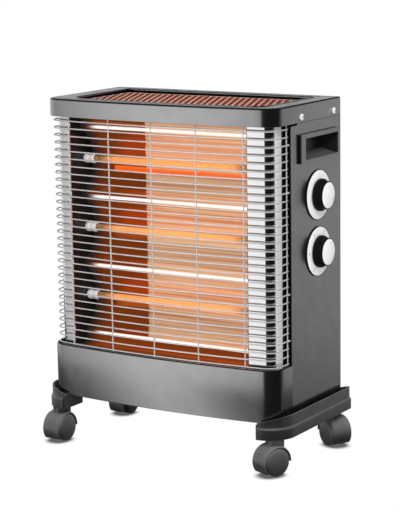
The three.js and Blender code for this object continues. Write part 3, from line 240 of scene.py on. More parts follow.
def wire_up(shader, output, socket):
    """Links an output to one of the shader's own sockets."""
    shader.id_data.links.new(output, shader.inputs[socket])


def axes_of(shader, kind="Object"):
    """The place on the piece, split into its three axes."""
    tree = shader.id_data
    place = tree.nodes.new("ShaderNodeTexCoord")
    split = tree.nodes.new("ShaderNodeSeparateXYZ")
    tree.links.new(place.outputs[kind], split.inputs["Vector"])
    return split.outputs


def facing_up(shader):
    """How far a surface faces up, from -1 to 1."""
    tree = shader.id_data
    facing = tree.nodes.new("ShaderNodeNewGeometry")
    split = tree.nodes.new("ShaderNodeSeparateXYZ")
    tree.links.new(facing.outputs["Normal"], split.inputs["Vector"])
    return split.outputs["Z"]


def noise(shader, scale, detail=3.0, stretch=(1, 1, 1)):
    """Fine noise in the piece's own place, from 0 to 1."""
    tree = shader.id_data
    place = tree.nodes.new("ShaderNodeTexCoord")
    mapping = tree.nodes.new("ShaderNodeMapping")
    mapping.inputs["Scale"].default_value = stretch
    texture = tree.nodes.new("ShaderNodeTexNoise")
    texture.inputs["Scale"].default_value = scale
    texture.inputs["Detail"].default_value = detail
    tree.links.new(place.outputs["Object"], mapping.inputs["Vector"])
    tree.links.new(mapping.outputs["Vector"], texture.inputs["Vector"])
    return texture.outputs["Fac"]


def sum_of(shader, operation, *values):
    """One sum, with links or plain numbers as its terms."""
    tree = shader.id_data
    node = tree.nodes.new("ShaderNodeMath")
    node.operation = operation
    for socket, value in zip(node.inputs, values):
        if isinstance(value, (int, float)):
            socket.default_value = value
        else:
            tree.links.new(value, socket)
    return node.outputs["Value"]


def product(shader, first, *others):
    """All shares multiplied together."""
    for other in others:
        first = sum_of(shader, "MULTIPLY", first, other)
    return first


def spread(shader, value, low, high, start=0.3, end=0.7, smooth=False):
    """A value between start and end brought between two limits."""
    node = shader.id_data.nodes.new("ShaderNodeMapRange")
    if smooth:
        node.interpolation_type = "SMOOTHSTEP"
    for socket, number in zip(("From Min", "From Max", "To Min", "To Max"), (start, end, low, high)):
        node.inputs[socket].default_value = number
    shader.id_data.links.new(value, node.inputs["Value"])
    return node.outputs["Result"]


def between(shader, value, start, end, low=0.0, high=1.0):
    """A smooth step that a surface makes from one place to another."""
    return spread(shader, value, low, high, start, end, smooth=True)


def blend(shader, share, first, second):
    """A blend of two ends, each a plain colour or another node's output."""
    tree = shader.id_data
    mix = tree.nodes.new("ShaderNodeMix")
    mix.data_type = "RGBA"
    ends = [socket for socket in mix.inputs if socket.type == "RGBA"]
    for socket, end in zip(ends, (first, second)):
        if isinstance(end, bpy.types.NodeSocket):
            tree.links.new(end, socket)
        else:
            socket.default_value = (*end, 1)
    tree.links.new(share, mix.inputs["Factor"])
    return next(socket for socket in mix.outputs if socket.type == "RGBA")


def relief(shader, height, distance, strength=1.0):
    """Bump from a height, with its depth in metres."""
    node = shader.id_data.nodes.new("ShaderNodeBump")
    node.inputs["Distance"].default_value = distance
    node.inputs["Strength"].default_value = strength
    shader.id_data.links.new(height, node.inputs["Height"])
    wire_up(shader, node.outputs["Normal"], "Normal")


def shade(base, factor):
    """A colour made darker or paler."""
    return tuple(min(1.0, channel * factor) for channel in base)


def toned(shader, base, scale, dark, light, detail=3.0):
    """The base colour with a fine unevenness between two shades of it."""
    return blend(shader, noise(shader, scale, detail), shade(base, dark), shade(base, light))


def from_middle(shader, axes):
    """Distance from the cabinet's middle plane, the same on both sides."""
    return sum_of(shader, "ABSOLUTE", sum_of(shader, "SUBTRACT", axes["X"], MIDDLE_X))


# ---------------------------------------------------------------------------
# Finishes
# ---------------------------------------------------------------------------


def plain_finish(name, base, roughness, metallic=0.0, tone=None, gloss=None, grain=None, **sockets):
    """A finish that is even but for fine noise.

    tone is the noise's scale with the darkest and palest shade, gloss its scale with the least
    and most roughness, and grain its scale with the relief's depth and strength.
    """
    material, shader = surface(name, base, roughness, metallic, **sockets)
    if shader:
        if tone:
            wire_up(shader, toned(shader, base, *tone), "Base Color")
        if gloss:
            scale, least, most = gloss
            wire_up(shader, spread(shader, noise(shader, scale), least, most), "Roughness")
        if grain:
            scale, depth, strength = grain
            relief(shader, noise(shader, scale), depth, strength)
    return material


def lacquered(name, painted_shade_share=None, dark=0.0):
    """Metallic grey lacquer with a fine flake and a soft ripple, and painted shade of the given darkness on
    one share.
    """
    base = colours().lacquer
    material, shader = surface(name, base, 0.24, 1.0)
    if shader:
        wire_up(shader, spread(shader, noise(shader, 40), 0.22, 0.27), "Roughness")
        relief(shader, noise(shader, 900, 2.0), 0.00001, 0.1)
        paint = toned(shader, base, 2600, 0.9, 1.1, detail=1.0)
        # Painted shade: the chosen share of the lacquer is painted near black.
        if painted_shade_share:
            paint = blend(shader, painted_shade_share(shader), paint, (dark, dark, dark))
        wire_up(shader, paint, "Base Color")
    return material


def grey_lacquer():
    """The skirt's lacquer, the same on all sides."""
    return lacquered("grey_lacquer")


def cover_lacquer():
    """The lacquer with painted shade on the lip round the outlet's edge."""
    return lacquered("cover_lacquer", lip_in_painted_shade, 0.01)


def lip_in_painted_shade(shader):
    """Share of the cover that hangs down into its opening, where shade is painted."""
    axes = axes_of(shader)
    inside = sum_of(shader, "LESS_THAN", from_middle(shader, axes), SIDE - OPENING_SIDE + 4 * MM)
    behind = sum_of(shader, "GREATER_THAN", axes["Y"], FRONT_Y + OPENING_FRONT - 4 * MM)
    under = between(shader, axes["Z"], TOP_Z - 2.6 * MM, TOP_Z - 1.8 * MM, 1, 0)
    return product(shader, inside, behind, under)


def panel_lacquer():
    """The lacquer on the outside of a sheet, with painted shade on its inside in the cabinet."""
    return lacquered("panel_lacquer", inside_painted_shade, 0.006)


def inside_painted_shade(shader):
    """Share of the panels that faces the cabinet's inside, where shade is painted."""
    axes = axes_of(shader)
    within = sum_of(shader, "LESS_THAN", from_middle(shader, axes), SIDE - 0.9 * MM)
    before = sum_of(shader, "LESS_THAN", axes["Y"], BACK_Y - 0.6 * MM)
    return product(shader, within, before)


def copper_lacquer():
    """Copper-red lacquer of the expanded metal, with painted glints on its raised bonds and painted shade in
    its dips.
    """
    base = colours().copper
    material, shader = surface("copper_lacquer", base, 0.3, 0.3, Coat_Weight=0.4, Coat_Roughness=0.2)
    if shader:
        height = axes_of(shader)["Z"]
        raised = between(shader, height, MESH_TOP - 1.25 * MM, MESH_TOP - 0.95 * MM)
        lit = between(shader, height, MESH_TOP - 4.5 * MM, MESH_TOP - 2.6 * MM)
        # Painted shade: the strands darken to half where they dip lowest.
        paint = blend(shader, lit, shade(base, 0.5), toned(shader, base, 300, 0.8, 1.25))
        # Painted glints: pale colour on the tops of the raised bonds.
        wire_up(shader, blend(shader, raised, paint, (0.95, 0.72, 0.62)), "Base Color")
        relief(shader, noise(shader, 1200), 0.00003, 0.3)
    return material


def chrome():
    """Bright plating with slight waves."""
    return plain_finish(
        "bright_chrome", colours().chrome, 0.15, 0.62, tone=(35, 0.85, 1), gloss=(60, 0.11, 0.19)
    )


def column_chrome():
    """Mirror-bright sheet whose straight side wings are satin, with painted shade near black on its folded
    ends.
    """
    base = colours().chrome
    material, shader = surface("column_chrome", base, 0.05, 1.0)
    if shader:
        depth = axes_of(shader)["Y"]
        wing = between(shader, depth, corner_depth() - 2.5 * MM, corner_depth() + 0.5 * MM, 1.0, 0.3)
        folded = between(shader, depth, COLUMN_HIGH.y - 7.5 * MM, COLUMN_HIGH.y - 6 * MM)
        wire_up(shader, wing, "Metallic")
        # Painted shade: the folded ends are painted near black.
        wire_up(shader, blend(shader, folded, base, (0.03, 0.03, 0.03)), "Base Color")
        wire_up(shader, spread(shader, noise(shader, 30), 0.04, 0.07), "Roughness")
        relief(shader, noise(shader, 12, 1.0, (1, 1, 0.2)), 0.00003, 0.2)
    return material


def reflector_mirror():
    """Polished sheet with drawn streaks and a painted glow, painted highlights on its ridges and painted dark
    ends.
    """
    base, painted_dark_reflection = colours().mirror, colours().painted_dark_reflection
    material, shader = surface("reflector_mirror", base, 0.12, 1.0)
    if shader:
        axes = axes_of(shader)
        left_end = REFLECTOR_LOW.x
        slanted = sum_of(shader, "MULTIPLY_ADD", axes["Y"], 0.62, axes["X"])
        ragged = sum_of(shader, "MULTIPLY_ADD", noise(shader, 60), 6 * MM, slanted)
        # Painted dark reflection left of a ragged slanting edge, painted glow right of it
        lit = between(shader, ragged, DARK_TO_LIT - 2 * MM, DARK_TO_LIT + 2 * MM)
        streaks = spread(shader, noise(shader, 330, 3.0, (0.006, 1, 1)), 0, 1, 0.36, 0.6)
        above = between(shader, axes["Z"], BOTTOM_RIDGE - 4 * MM, BOTTOM_RIDGE - 3.2 * MM)
        crest = between(shader, axes["Y"], RIDGE_Y - 2.7 * MM, RIDGE_Y - 2.1 * MM, 1, 0)
        reach = between(shader, ragged, left_end - 26 * MM, left_end + 2 * MM)
        # Painted highlight: near-white crests on the ridges, in the colour and in the glow.
        painted_ridge_highlight = product(shader, crest, reach, above)
        # Painted shade: the sheet fades to near black towards its left end, in colour and glow.
        beyond_painted_end_shade = between(shader, axes["X"], left_end - 2 * MM, left_end + 36 * MM)

        sheet = blend(shader, streaks, shade(base, 0.2), shade(base, 0.38))
        sheet = blend(shader, lit, painted_dark_reflection, sheet)
        sheet = blend(shader, painted_ridge_highlight, sheet, (1, 0.97, 0.93))
        brown = (base[0] * 0.72, base[1] * 0.5, base[2] * 0.4)
        # Painted glow: the sheet's emission, streaked like the sheet, stands in for the tubes' light that it
        # mirrors.
        glow = blend(shader, streaks, brown, base)
        glow = blend(shader, lit, shade(painted_dark_reflection, 0.85), glow)
        # Painted reflection of the top tube: a deep red band in the trough under it.
        glow = blend(shader, painted_tube_reflection(shader, axes), glow, (1.15, 0.13, 0.01))
        glow = blend(shader, painted_ridge_highlight, glow, (1.0, 0.9, 0.8))
        for output, socket in ((sheet, "Base Color"), (glow, "Emission Color")):
            # Painted dark reflection below the bottom ridge
            output = blend(shader, above, painted_dark_reflection, output)
            wire_up(shader, blend(shader, beyond_painted_end_shade, (0.012, 0.014, 0.014), output), socket)
        # Strength of the painted glow
        shader.inputs["Emission Strength"].default_value = 0.85
        relief(shader, noise(shader, 30, 2.0, (0.2, 1, 1)), 0.0006, 0.3)
    return material


def painted_tube_reflection(shader, axes):
    """Share of the deep red band painted in the top tube's trough as the tube's reflection."""
    height = (TUBE_LOW.z + TUBE_HIGH.z) / 2
    lower = between(shader, axes["Z"], height - 20.5 * MM, height - 19.5 * MM)
    upper = between(shader, axes["Z"], height - 12.5 * MM, height - 11.5 * MM, 1, 0)
    start = between(shader, axes["X"], TUBE_REFLECTION_START - 3 * MM, TUBE_REFLECTION_START + 3 * MM)
    return product(shader, lower, upper, start)


def dark_steel():
    """Dark, stained sheet of the tube brackets and of the dials' edges."""
    material, shader = surface("dark_steel", (0.022, 0.026, 0.027), 0.5, 0.5)
    if shader:
        stained = blend(shader, noise(shader, 50), (0.014, 0.018, 0.019), (0.035, 0.038, 0.038))
        wire_up(shader, stained, "Base Color")
        wire_up(shader, spread(shader, noise(shader, 90), 0.32, 0.5), "Roughness")
    return material


def zinc_steel():
    """Plated sheet with a faint spangle."""
    return plain_finish(
        "zinc_steel", colours().steel, 0.38, 0.95, tone=(110, 0.85, 1.1), gloss=(70, 0.3, 0.46)
    )


def bright_screw():
    """Pale plating of the cover screws."""
    return plain_finish("bright_screw", colours().chrome, 0.2, 0.2, gloss=(400, 0.1, 0.2))


def moulded_black(name, roughness, down, pale):
    """Black plastic with the grain of its mould and a painted top light, paler the more it faces up."""
    base = colours().plastic
    material, shader = surface(name, base, roughness, 0.0, IOR=1.7, Sheen_Weight=0.15, Sheen_Roughness=0.4)
    if shader:
        # Painted light: faces that look up are mixed towards pale grey.
        painted_top_light = between(shader, facing_up(shader), down, 0.9)
        grained = toned(shader, base, 500, 0.8, 1.3)
        wire_up(shader, blend(shader, painted_top_light, grained, (pale, pale, pale * 1.02)), "Base Color")
        worn = spread(shader, noise(shader, 120), roughness * 0.85, roughness * 1.15)
        wire_up(shader, worn, "Roughness")
    return material


def satin_black():
    """Foot rails and gland."""
    return moulded_black("satin_black", 0.42, 0.05, 0.13)


def castor_black():
    """Castors' hoods and wheels, with painted top light that reaches further down their sides."""
    return moulded_black("castor_black", 0.36, -0.4, 0.15)


def gloss_black():
    """Plain black of the knobs' grips."""
    return plain_finish(
        "gloss_black", shade(colours().plastic, 0.4), 0.3, tone=(500, 0.8, 1.3), gloss=(120, 0.26, 0.34),
        Specular_IOR_Level=0.3,
    )


def handle_plastic():
    """Grey plastic that matches the lacquer at the rim, with painted shade in the grip's depth that spares
    faces looking up.
    """
    base = colours().handle
    material, shader = surface("handle_grey", base, 0.34, 0.0, Specular_IOR_Level=0.8)
    if shader:
        face = HANDLE_FACE - MIDDLE_X
        rim = between(shader, from_middle(shader, axes_of(shader)), face - 1.6 * MM, face - 0.4 * MM)
        shelf = between(shader, facing_up(shader), 0.3, 0.8, 0, 0.8)
        # Painted shade: deep in the grip the plastic is painted black, except where it faces up.
        shown = sum_of(shader, "MAXIMUM", rim, shelf)
        grained = toned(shader, base, 400, 0.9, 1.1)
        wire_up(shader, blend(shader, shown, shade(colours().plastic, 0.6), grained), "Base Color")
        relief(shader, noise(shader, 1800, 2.0), 0.00001, 0.2)
    return material


def dial_white():
    """Pale printed plate with a silky face."""
    return plain_finish(
        "dial_white", colours().dial, 0.35, tone=(300, 0.985, 1.01), grain=(1500, 0.00001, 0.2),
        Coat_Weight=0.2, Coat_Roughness=0.2,
    )


def dial_print():
    """Grey ink of the dials' marks."""
    return plain_finish("dial_print", colours().print_ink, 0.5, tone=(900, 1, 1.5))


def ceramic():
    """Matt steatite, a little stained by heat."""
    return plain_finish(
        "ceramic", colours().ceramic, 0.62, tone=(120, 0.85, 1.08), grain=(1400, 0.00004, 0.4)
    )


def pale_plastic():
    """Cream plastic of the switches inside."""
    return plain_finish(
        "pale_plastic", (0.62, 0.6, 0.54), 0.5, tone=(200, 0.93, 1.05), grain=(1500, 0.00002, 0.3)
    )


def hot_wire():
    """Glowing resistance wire that fades to bare metal at its leads."""
    glow = colours().glow
    material, shader = surface("hot_wire", (0.25, 0.22, 0.2), 0.45, 0.8)
    if shader:
        shader.inputs["Emission Color"].default_value = (*glow, 1)
        wire_up(shader, heated_stretch(shader, 0.7), "Emission Strength")
    return material


def hot_quartz():
    """Quartz tube filled with the coil's light, clear beyond the coil's ends."""
    glow = colours().glow
    material, shader = surface("hot_quartz", (1.0, 0.72, 0.45), 0.12, 0.0, Transmission_Weight=0.8, IOR=1.12)
    if shader:
        shader.inputs["Emission Color"].default_value = (glow[0], glow[1] * 1.2, glow[2] * 1.6, 1)
        wire_up(shader, heated_stretch(shader, 0.16), "Emission Strength")
        wire_up(shader, spread(shader, noise(shader, 200), 0.08, 0.18), "Roughness")
    return material


def heated_stretch(shader, strength):
    """Full strength along the coil, falling to nothing over its leads."""
    along = axes_of(shader)["X"]
    low, high = coil_span()
    rise = spread(shader, along, 0, strength, low - 6 * MM, low + 22 * MM)
    fall = spread(shader, along, strength, 0, high - 22 * MM, high + 6 * MM)
    return sum_of(shader, "MINIMUM", rise, fall)


# ---------------------------------------------------------------------------
# Mesh tools
# ---------------------------------------------------------------------------


def stand(name, bm, finish, body="cabinet", nodes=(), sharp=35, turned=True):
    """The finished object of a piece, fixed to the body that it rides on."""
    if not bm.faces:
        raise RuntimeError(f"{name} has no faces")
    if turned:
        bmesh.ops.recalc_face_normals(bm, faces=bm.faces)
    mesh = bpy.data.meshes.new(name)
    bm.to_mesh(mesh)
    bm.free()
    mesh.materials.append(finish)
    mesh.shade_smooth()
    mesh.set_sharp_from_angle(angle=math.radians(sharp))
    piece = bpy.data.objects.new(name, mesh)
    bpy.context.scene.collection.objects.link(piece)
    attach(piece, body)
    if nodes:
        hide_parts(*nodes)
    return piece


def soften(piece, width, segments):
    """Rounds the edges of a piece."""
    bevel = piece.modifiers.new("edges", "BEVEL")
    bevel.width = width
    bevel.segments = segments
    bevel.limit_method = "ANGLE"
    bevel.angle_limit = math.radians(30)
    bevel.harden_normals = True
    bevel.use_clamp_overlap = True


def dressed(node, finish, bevel, body="cabinet", segments=2, sharp=35):
    """A merged copy of a CAD node, with rounded edges and its own finish."""
    bm = bmesh.new()
    bm.from_mesh(frame["nodes"][node].data)
    bmesh.ops.remove_doubles(bm, verts=bm.verts, dist=SMALL)
    bmesh.ops.dissolve_limit(bm, angle_limit=math.radians(0.5), verts=bm.verts, edges=bm.edges)
    piece = stand(f"{node}_shell", bm, finish, body, (node,), sharp, turned=False)
    if bevel:
        soften(piece, bevel, segments)


def whole(bm):
    return bm.verts[:] + bm.edges[:] + bm.faces[:]


def vertices_in(items):
    return [item for item in items if isinstance(item, bmesh.types.BMVert)]


def edges_in(items):
    return [item for item in items if isinstance(item, bmesh.types.BMEdge)]


def unique(items):
    """Each item once, in the order in which it came, so every run builds the same mesh."""
    return list(dict.fromkeys(items))


def corners_of(ring):
    return unique(vertex for edge in ring for vertex in edge.verts)


def push(bm, ring, offset):
    """Carries an open ring of edges one straight step on."""
    made = bmesh.ops.extrude_edge_only(bm, edges=ring)["geom"]
    fresh = vertices_in(made)
    bmesh.ops.translate(bm, verts=fresh, vec=offset)
    fresh = set(fresh)
    return [edge for edge in edges_in(made) if all(vertex in fresh for vertex in edge.verts)]


def turn(bm, ring, centre, angle, steps, axis=(0, 0, 1), advance=(0, 0, 0)):
    """Carries an open ring of edges round an axis."""
    made = bmesh.ops.spin(
        bm, geom=ring + corners_of(ring), cent=centre, axis=axis, dvec=advance, angle=angle, steps=steps,
    )
    return edges_in(made["geom_last"])


def swing(bm, vertex, centre, axis, angle, steps):
    """Draws an arc of edges from a vertex and gives its last one."""
    made = bmesh.ops.spin(bm, geom=[vertex], cent=centre, axis=axis, angle=angle, steps=steps)
    return vertices_in(made["geom_last"])[0]


def repeat(bm, count, pitch):
    """Stands copies of everything in a mesh in a row."""
    first = whole(bm)
    for number in range(1, count):
        copy = bmesh.ops.duplicate(bm, geom=first)["geom"]
        bmesh.ops.translate(bm, verts=vertices_in(copy), vec=Vector(pitch) * number)


def polyline(bm, points, closed=False):
    """Edges through a few points."""
    vertices = [bm.verts.new(point) for point in points]
    pairs = list(zip(vertices, vertices[1:]))
    if closed:
        pairs.append((vertices[-1], vertices[0]))
    return [bm.edges.new(pair) for pair in pairs]


def close(bm, *rings):
    """A flat face on each open ring."""
    for ring in rings:
        bmesh.ops.edgeloop_fill(bm, edges=ring)


def ring_of_circle(bm, centre, radius, segments, facing):
    """An open circle of edges square to a direction."""
    turned = Vector((0, 0, 1)).rotation_difference(Vector(facing)).to_matrix().to_4x4()
    made = bmesh.ops.create_circle(
        bm, segments=segments, radius=radius, matrix=Matrix.Translation(centre) @ turned
    )["verts"]
    inside = set(made)
    return unique(
        edge for vertex in made for edge in vertex.link_edges if all(v in inside for v in edge.verts)
    )


def rod(bm, foot, radius, segments, run):
    """A straight round bar from its foot to the end of its run."""
    ring = ring_of_circle(bm, foot, radius, segments, run)
    close(bm, ring, push(bm, ring, run))


def block(bm, low, high):
    """A box between two corners."""
    low, high = Vector(low), Vector(high)
    place = Matrix.Translation((low + high) / 2) @ Matrix.Diagonal((*(high - low), 1))
    bmesh.ops.create_cube(bm, size=1, matrix=place)


def disc(bm, radius, thickness, place=Matrix.Identity(4), segments=24):
    """A flat round plate, square to local Z."""
    bmesh.ops.create_cone(
        bm, cap_ends=True, segments=segments, radius1=radius, radius2=radius, depth=thickness, matrix=place
    )


def lathe(bm, profile, segments, place=Matrix.Identity(4), closed=False):
    """A profile of [radius, height] points turned about Z and put in place."""
    points = [*profile, profile[0]] if closed else profile
    edges = polyline(bm, [(radius, 0, height) for radius, height in points])
    bmesh.ops.spin(
        bm, geom=corners_of(edges) + edges, cent=(0, 0, 0), axis=(0, 0, 1), angle=2 * math.pi, steps=segments,
        use_merge=True,
    )
    bmesh.ops.remove_doubles(bm, verts=bm.verts, dist=SMALL)
    bmesh.ops.transform(bm, matrix=place, verts=bm.verts)


def merge_into(bm, part, turned=True):
    """Adds a finished body to a mesh and frees it."""
    if turned:
        bmesh.ops.recalc_face_normals(part, faces=part.faces)
    mesh = bpy.data.meshes.new("part")
    part.to_mesh(mesh)
    part.free()
    bm.from_mesh(mesh)
    bpy.data.meshes.remove(mesh)


def lathe_into(bm, profile, segments, place=Matrix.Identity(4), closed=False):
    """A turned body added to a mesh that holds others."""
    extra = bmesh.new()
    lathe(extra, profile, segments, place, closed)
    merge_into(bm, extra)


def trim(bm, point, outward, sides=0):
    """Cuts off what lies beyond a plane and closes the cuts."""
    cut = bmesh.ops.bisect_plane(bm, geom=whole(bm), plane_co=point, plane_no=outward, clear_outer=True)
    bmesh.ops.holes_fill(bm, edges=edges_in(cut["geom_cut"]), sides=sides)


def to_left_side(bm):
    """Mirrors a piece of the right side."""
    bmesh.ops.scale(bm, vec=(-1, 1, 1), space=Matrix.Translation((-MIDDLE_X, 0, 0)), verts=bm.verts)


def open_rings(bm):
    """The open loops of a mesh, each as a list of edges."""
    left = dict.fromkeys(edge for edge in bm.edges if edge.is_boundary)
    rings = []
    while left:
        ring = grown = [next(iter(left))]
        while grown:
            for edge in grown:
                del left[edge]
            near = [edge for vertex in corners_of(grown) for edge in vertex.link_edges]
            grown = unique(edge for edge in near if edge in left)
            ring = ring + grown
        rings.append(ring)
    return rings


def bow_turn(path=CABINET_PATH):
    """Half the angle that the bowed front takes up between its corners."""
    half, bow_radius, corner_radius = path
    return math.asin(half / (bow_radius - corner_radius))


def corner_depth(path=CABINET_PATH):
    """Depth at which the front corners meet the straight sides."""
    _, bow_radius, corner_radius = path
    return BOW_CENTRE - (bow_radius - corner_radius) * math.cos(bow_turn(path))


def wrap(bm, section, corner_steps=10, bow_steps=28, path=CABINET_PATH):
    """Carries a section from the left side round both corners and the bowed front.

    The section stands at the left side, on the corner's own depth.
    """
    half, depth = path[0], corner_depth(path)
    corner = math.pi / 2 - bow_turn(path)
    ring = turn(bm, section, (MIDDLE_X - half, depth, 0), corner, corner_steps)
    ring = turn(bm, ring, (MIDDLE_X, BOW_CENTRE, 0), 2 * bow_turn(path), bow_steps)
    return turn(bm, ring, (MIDDLE_X + half, depth, 0), corner, corner_steps)


def go_round(bm, section, back_y, side, path=CABINET_PATH):
    """Carries a section all the way round the cabinet and closes it on itself."""
    centre_x, centre_y = side - BACK_RADIUS, back_y - BACK_RADIUS
    run = centre_y - corner_depth(path)
    ring = wrap(bm, section, path=path)
    ring = push(bm, ring, (0, run, 0))
    ring = turn(bm, ring, (MIDDLE_X + centre_x, centre_y, 0), math.pi / 2, 4)
    ring = push(bm, ring, (-2 * centre_x, 0, 0))
    ring = turn(bm, ring, (MIDDLE_X - centre_x, centre_y, 0), math.pi / 2, 4)
    push(bm, ring, (0, -run, 0))
    bmesh.ops.remove_doubles(bm, verts=bm.verts, dist=SMALL)


def quarter_round(centre, radius, start, steps=4):
    """Points of a quarter circle in the plane of outset and height."""
    points = []
    for step in range(steps + 1):
        angle = math.radians(start + 90 * step / steps)
        points.append((centre[0] + radius * math.cos(angle), centre[1] + radius * math.sin(angle)))
    return points


def left_section(points, side, depth):
    """[outset, height] points stood up at the left side."""
    return [(MIDDLE_X - side - outset, depth, height) for outset, height in points]


def turned_at(place, degrees, axis="Y"):
    """A place with a turn about one axis."""
    return Matrix.Translation(place) @ Matrix.Rotation(math.radians(degrees), 4, axis)


def joint_place(name):
    return Vector(next(joint["pos_m"] for joint in frame["joints"] if joint["name"] == name))


# ---------------------------------------------------------------------------
# Cabinet
# ---------------------------------------------------------------------------


def build_top_cover():
    """Pressed cover with a rolled outer edge, dished to a raised bead and a lip round its opening."""
    bottom, top = COVER_LOW.z, COVER_HIGH.z
    outside = [
        (-COVER_EDGE - SHEET, top - SHEET),
        (-SHEET, top - COVER_EDGE - SHEET),
        (-SHEET, bottom + 0.3 * MM),
        (-0.9 * MM, bottom),
        (-0.3 * MM, bottom),
        (0, bottom + 0.3 * MM),
        *quarter_round((-COVER_EDGE, top - COVER_EDGE), COVER_EDGE, 0, 6),
    ]
    bm = bmesh.new()
    go_round(bm, polyline(bm, left_section(outside, SIDE, corner_depth())), BACK_Y, SIDE)

    roll = 1.5 * MM
    lip_bottom = top - SHEET - OPENING_LIP
    bead = SHEET + 0.5 * MM
    rim = [
        (bead, top - SHEET),
        *quarter_round((roll, top - roll), roll, 90, 5),
        (0, lip_bottom),
        (SHEET, lip_bottom),
        (bead, top - SHEET - 0.5 * MM),
    ]
    opening = bmesh.new()
    side = SIDE - OPENING_SIDE
    section = polyline(opening, left_section(rim, side, corner_depth(OPENING_PATH)))
    go_round(opening, section, BACK_Y - OPENING_BACK, side, OPENING_PATH)
    merge_into(bm, opening, turned=False)

    def inner_then_lower(ring):
        corner = max(corners_of(ring), key=lambda vertex: vertex.co.x)
        return corner.co.x - MIDDLE_X > SIDE - OPENING_SIDE / 2, corner.co.z

    inner_under, inner_over, outer_under, outer_over = sorted(open_rings(bm), key=inner_then_lower)
    bmesh.ops.bridge_loops(bm, edges=outer_under + inner_under)
    bmesh.ops.bridge_loops(bm, edges=outer_over + inner_over)
    stand("cover_shell", bm, cover_lacquer(), nodes=("top_cover",))


def opening_planes(outset):
    """Points and outward directions that bound the opening, moved out a little."""
    half, radius, corner = OPENING_PATH
    planes = [(Vector((0, BACK_Y - OPENING_BACK + outset, 0)), Vector((0, 1, 0)))]
    for side in (1, -1):
        edge = MIDDLE_X + side * (SIDE - OPENING_SIDE + outset)
        planes.append((Vector((edge, 0, 0)), Vector((side, 0, 0))))
        middle = Vector((MIDDLE_X + side * half, corner_depth(OPENING_PATH), 0))
        for lean in (25, 45, 65):
            angle = math.radians(-lean)
            outward = Vector((side * math.cos(angle), math.sin(angle), 0))
            planes.append((middle + outward * (corner + outset), outward))
    centre, cuts = Vector((MIDDLE_X, BOW_CENTRE, 0)), 6
    for step in range(cuts + 1):
        angle = -math.pi / 2 + bow_turn(OPENING_PATH) * (2 * step / cuts - 1)
        outward = Vector((math.cos(angle), math.sin(angle), 0))
        planes.append((centre + outward * (radius + outset), outward))
    return planes


def build_top_grille():
    """Expanded metal: zigzag strands that run front to back, with every second bond raised."""
    long_way, short_way, strand = sizes().mesh_long, sizes().mesh_short, sizes().mesh_strand
    thickness, dip, step = 1.1 * MM, 2.2 * MM, 1.4 * MM
    low, high = GRILLE_LOW, GRILLE_HIGH
    half_bond = strand * 0.8
    steps = math.ceil((high.y - low.y) / long_way) + 1
    count = math.ceil((high.x - low.x) / (short_way / 2)) + 1
    start = Vector((low.x, low.y - long_way / 2, MESH_TOP - thickness))
    section = [
        (-strand / 2, 0, 0), (strand / 2, 0, 0), (strand / 2, 0, thickness), (-strand / 2, 0, thickness)
    ]
    across, along = (short_way / 2 - strand) / 2, (long_way / 2 - 2 * half_bond) / 2
    bm = bmesh.new()
    first = ring = polyline(bm, [start + Vector(point) for point in section], closed=True)
    for _ in range(steps):
        for side, fall, rise in ((1, dip, dip - step), (-1, dip - step, dip)):
            ring = push(bm, ring, (0, half_bond, 0))
            ring = push(bm, ring, (side * across, along, -fall))
            ring = push(bm, ring, (side * across, along, rise))
            ring = push(bm, ring, (0, half_bond, 0))
    close(bm, first, ring)
    strand_parts = whole(bm)
    for number in range(1, count):
        copy = bmesh.ops.duplicate(bm, geom=strand_parts)["geom"]
        shift = long_way / 2 if number % 2 else 0
        bmesh.ops.translate(bm, verts=vertices_in(copy), vec=(number * short_way / 2, shift, 0))
    for point, outward in opening_planes(4 * MM):
        trim(bm, point, outward, sides=12)
    stand("outlet_mesh", bm, copper_lacquer(), nodes=("top_grille",), sharp=50)

    bm = bmesh.new()
    side = SIDE - OPENING_SIDE
    under, over = MESH_TOP - 1.6 * MM, MESH_TOP - 0.6 * MM
    rim = [(1 * MM, under), (5 * MM, under), (5 * MM, over), (1 * MM, over)]
    section = polyline(bm, left_section(rim, side, corner_depth(OPENING_PATH)), closed=True)
    go_round(bm, section, BACK_Y - OPENING_BACK, side, OPENING_PATH)
    stand("outlet_mesh_edge", bm, copper_lacquer())


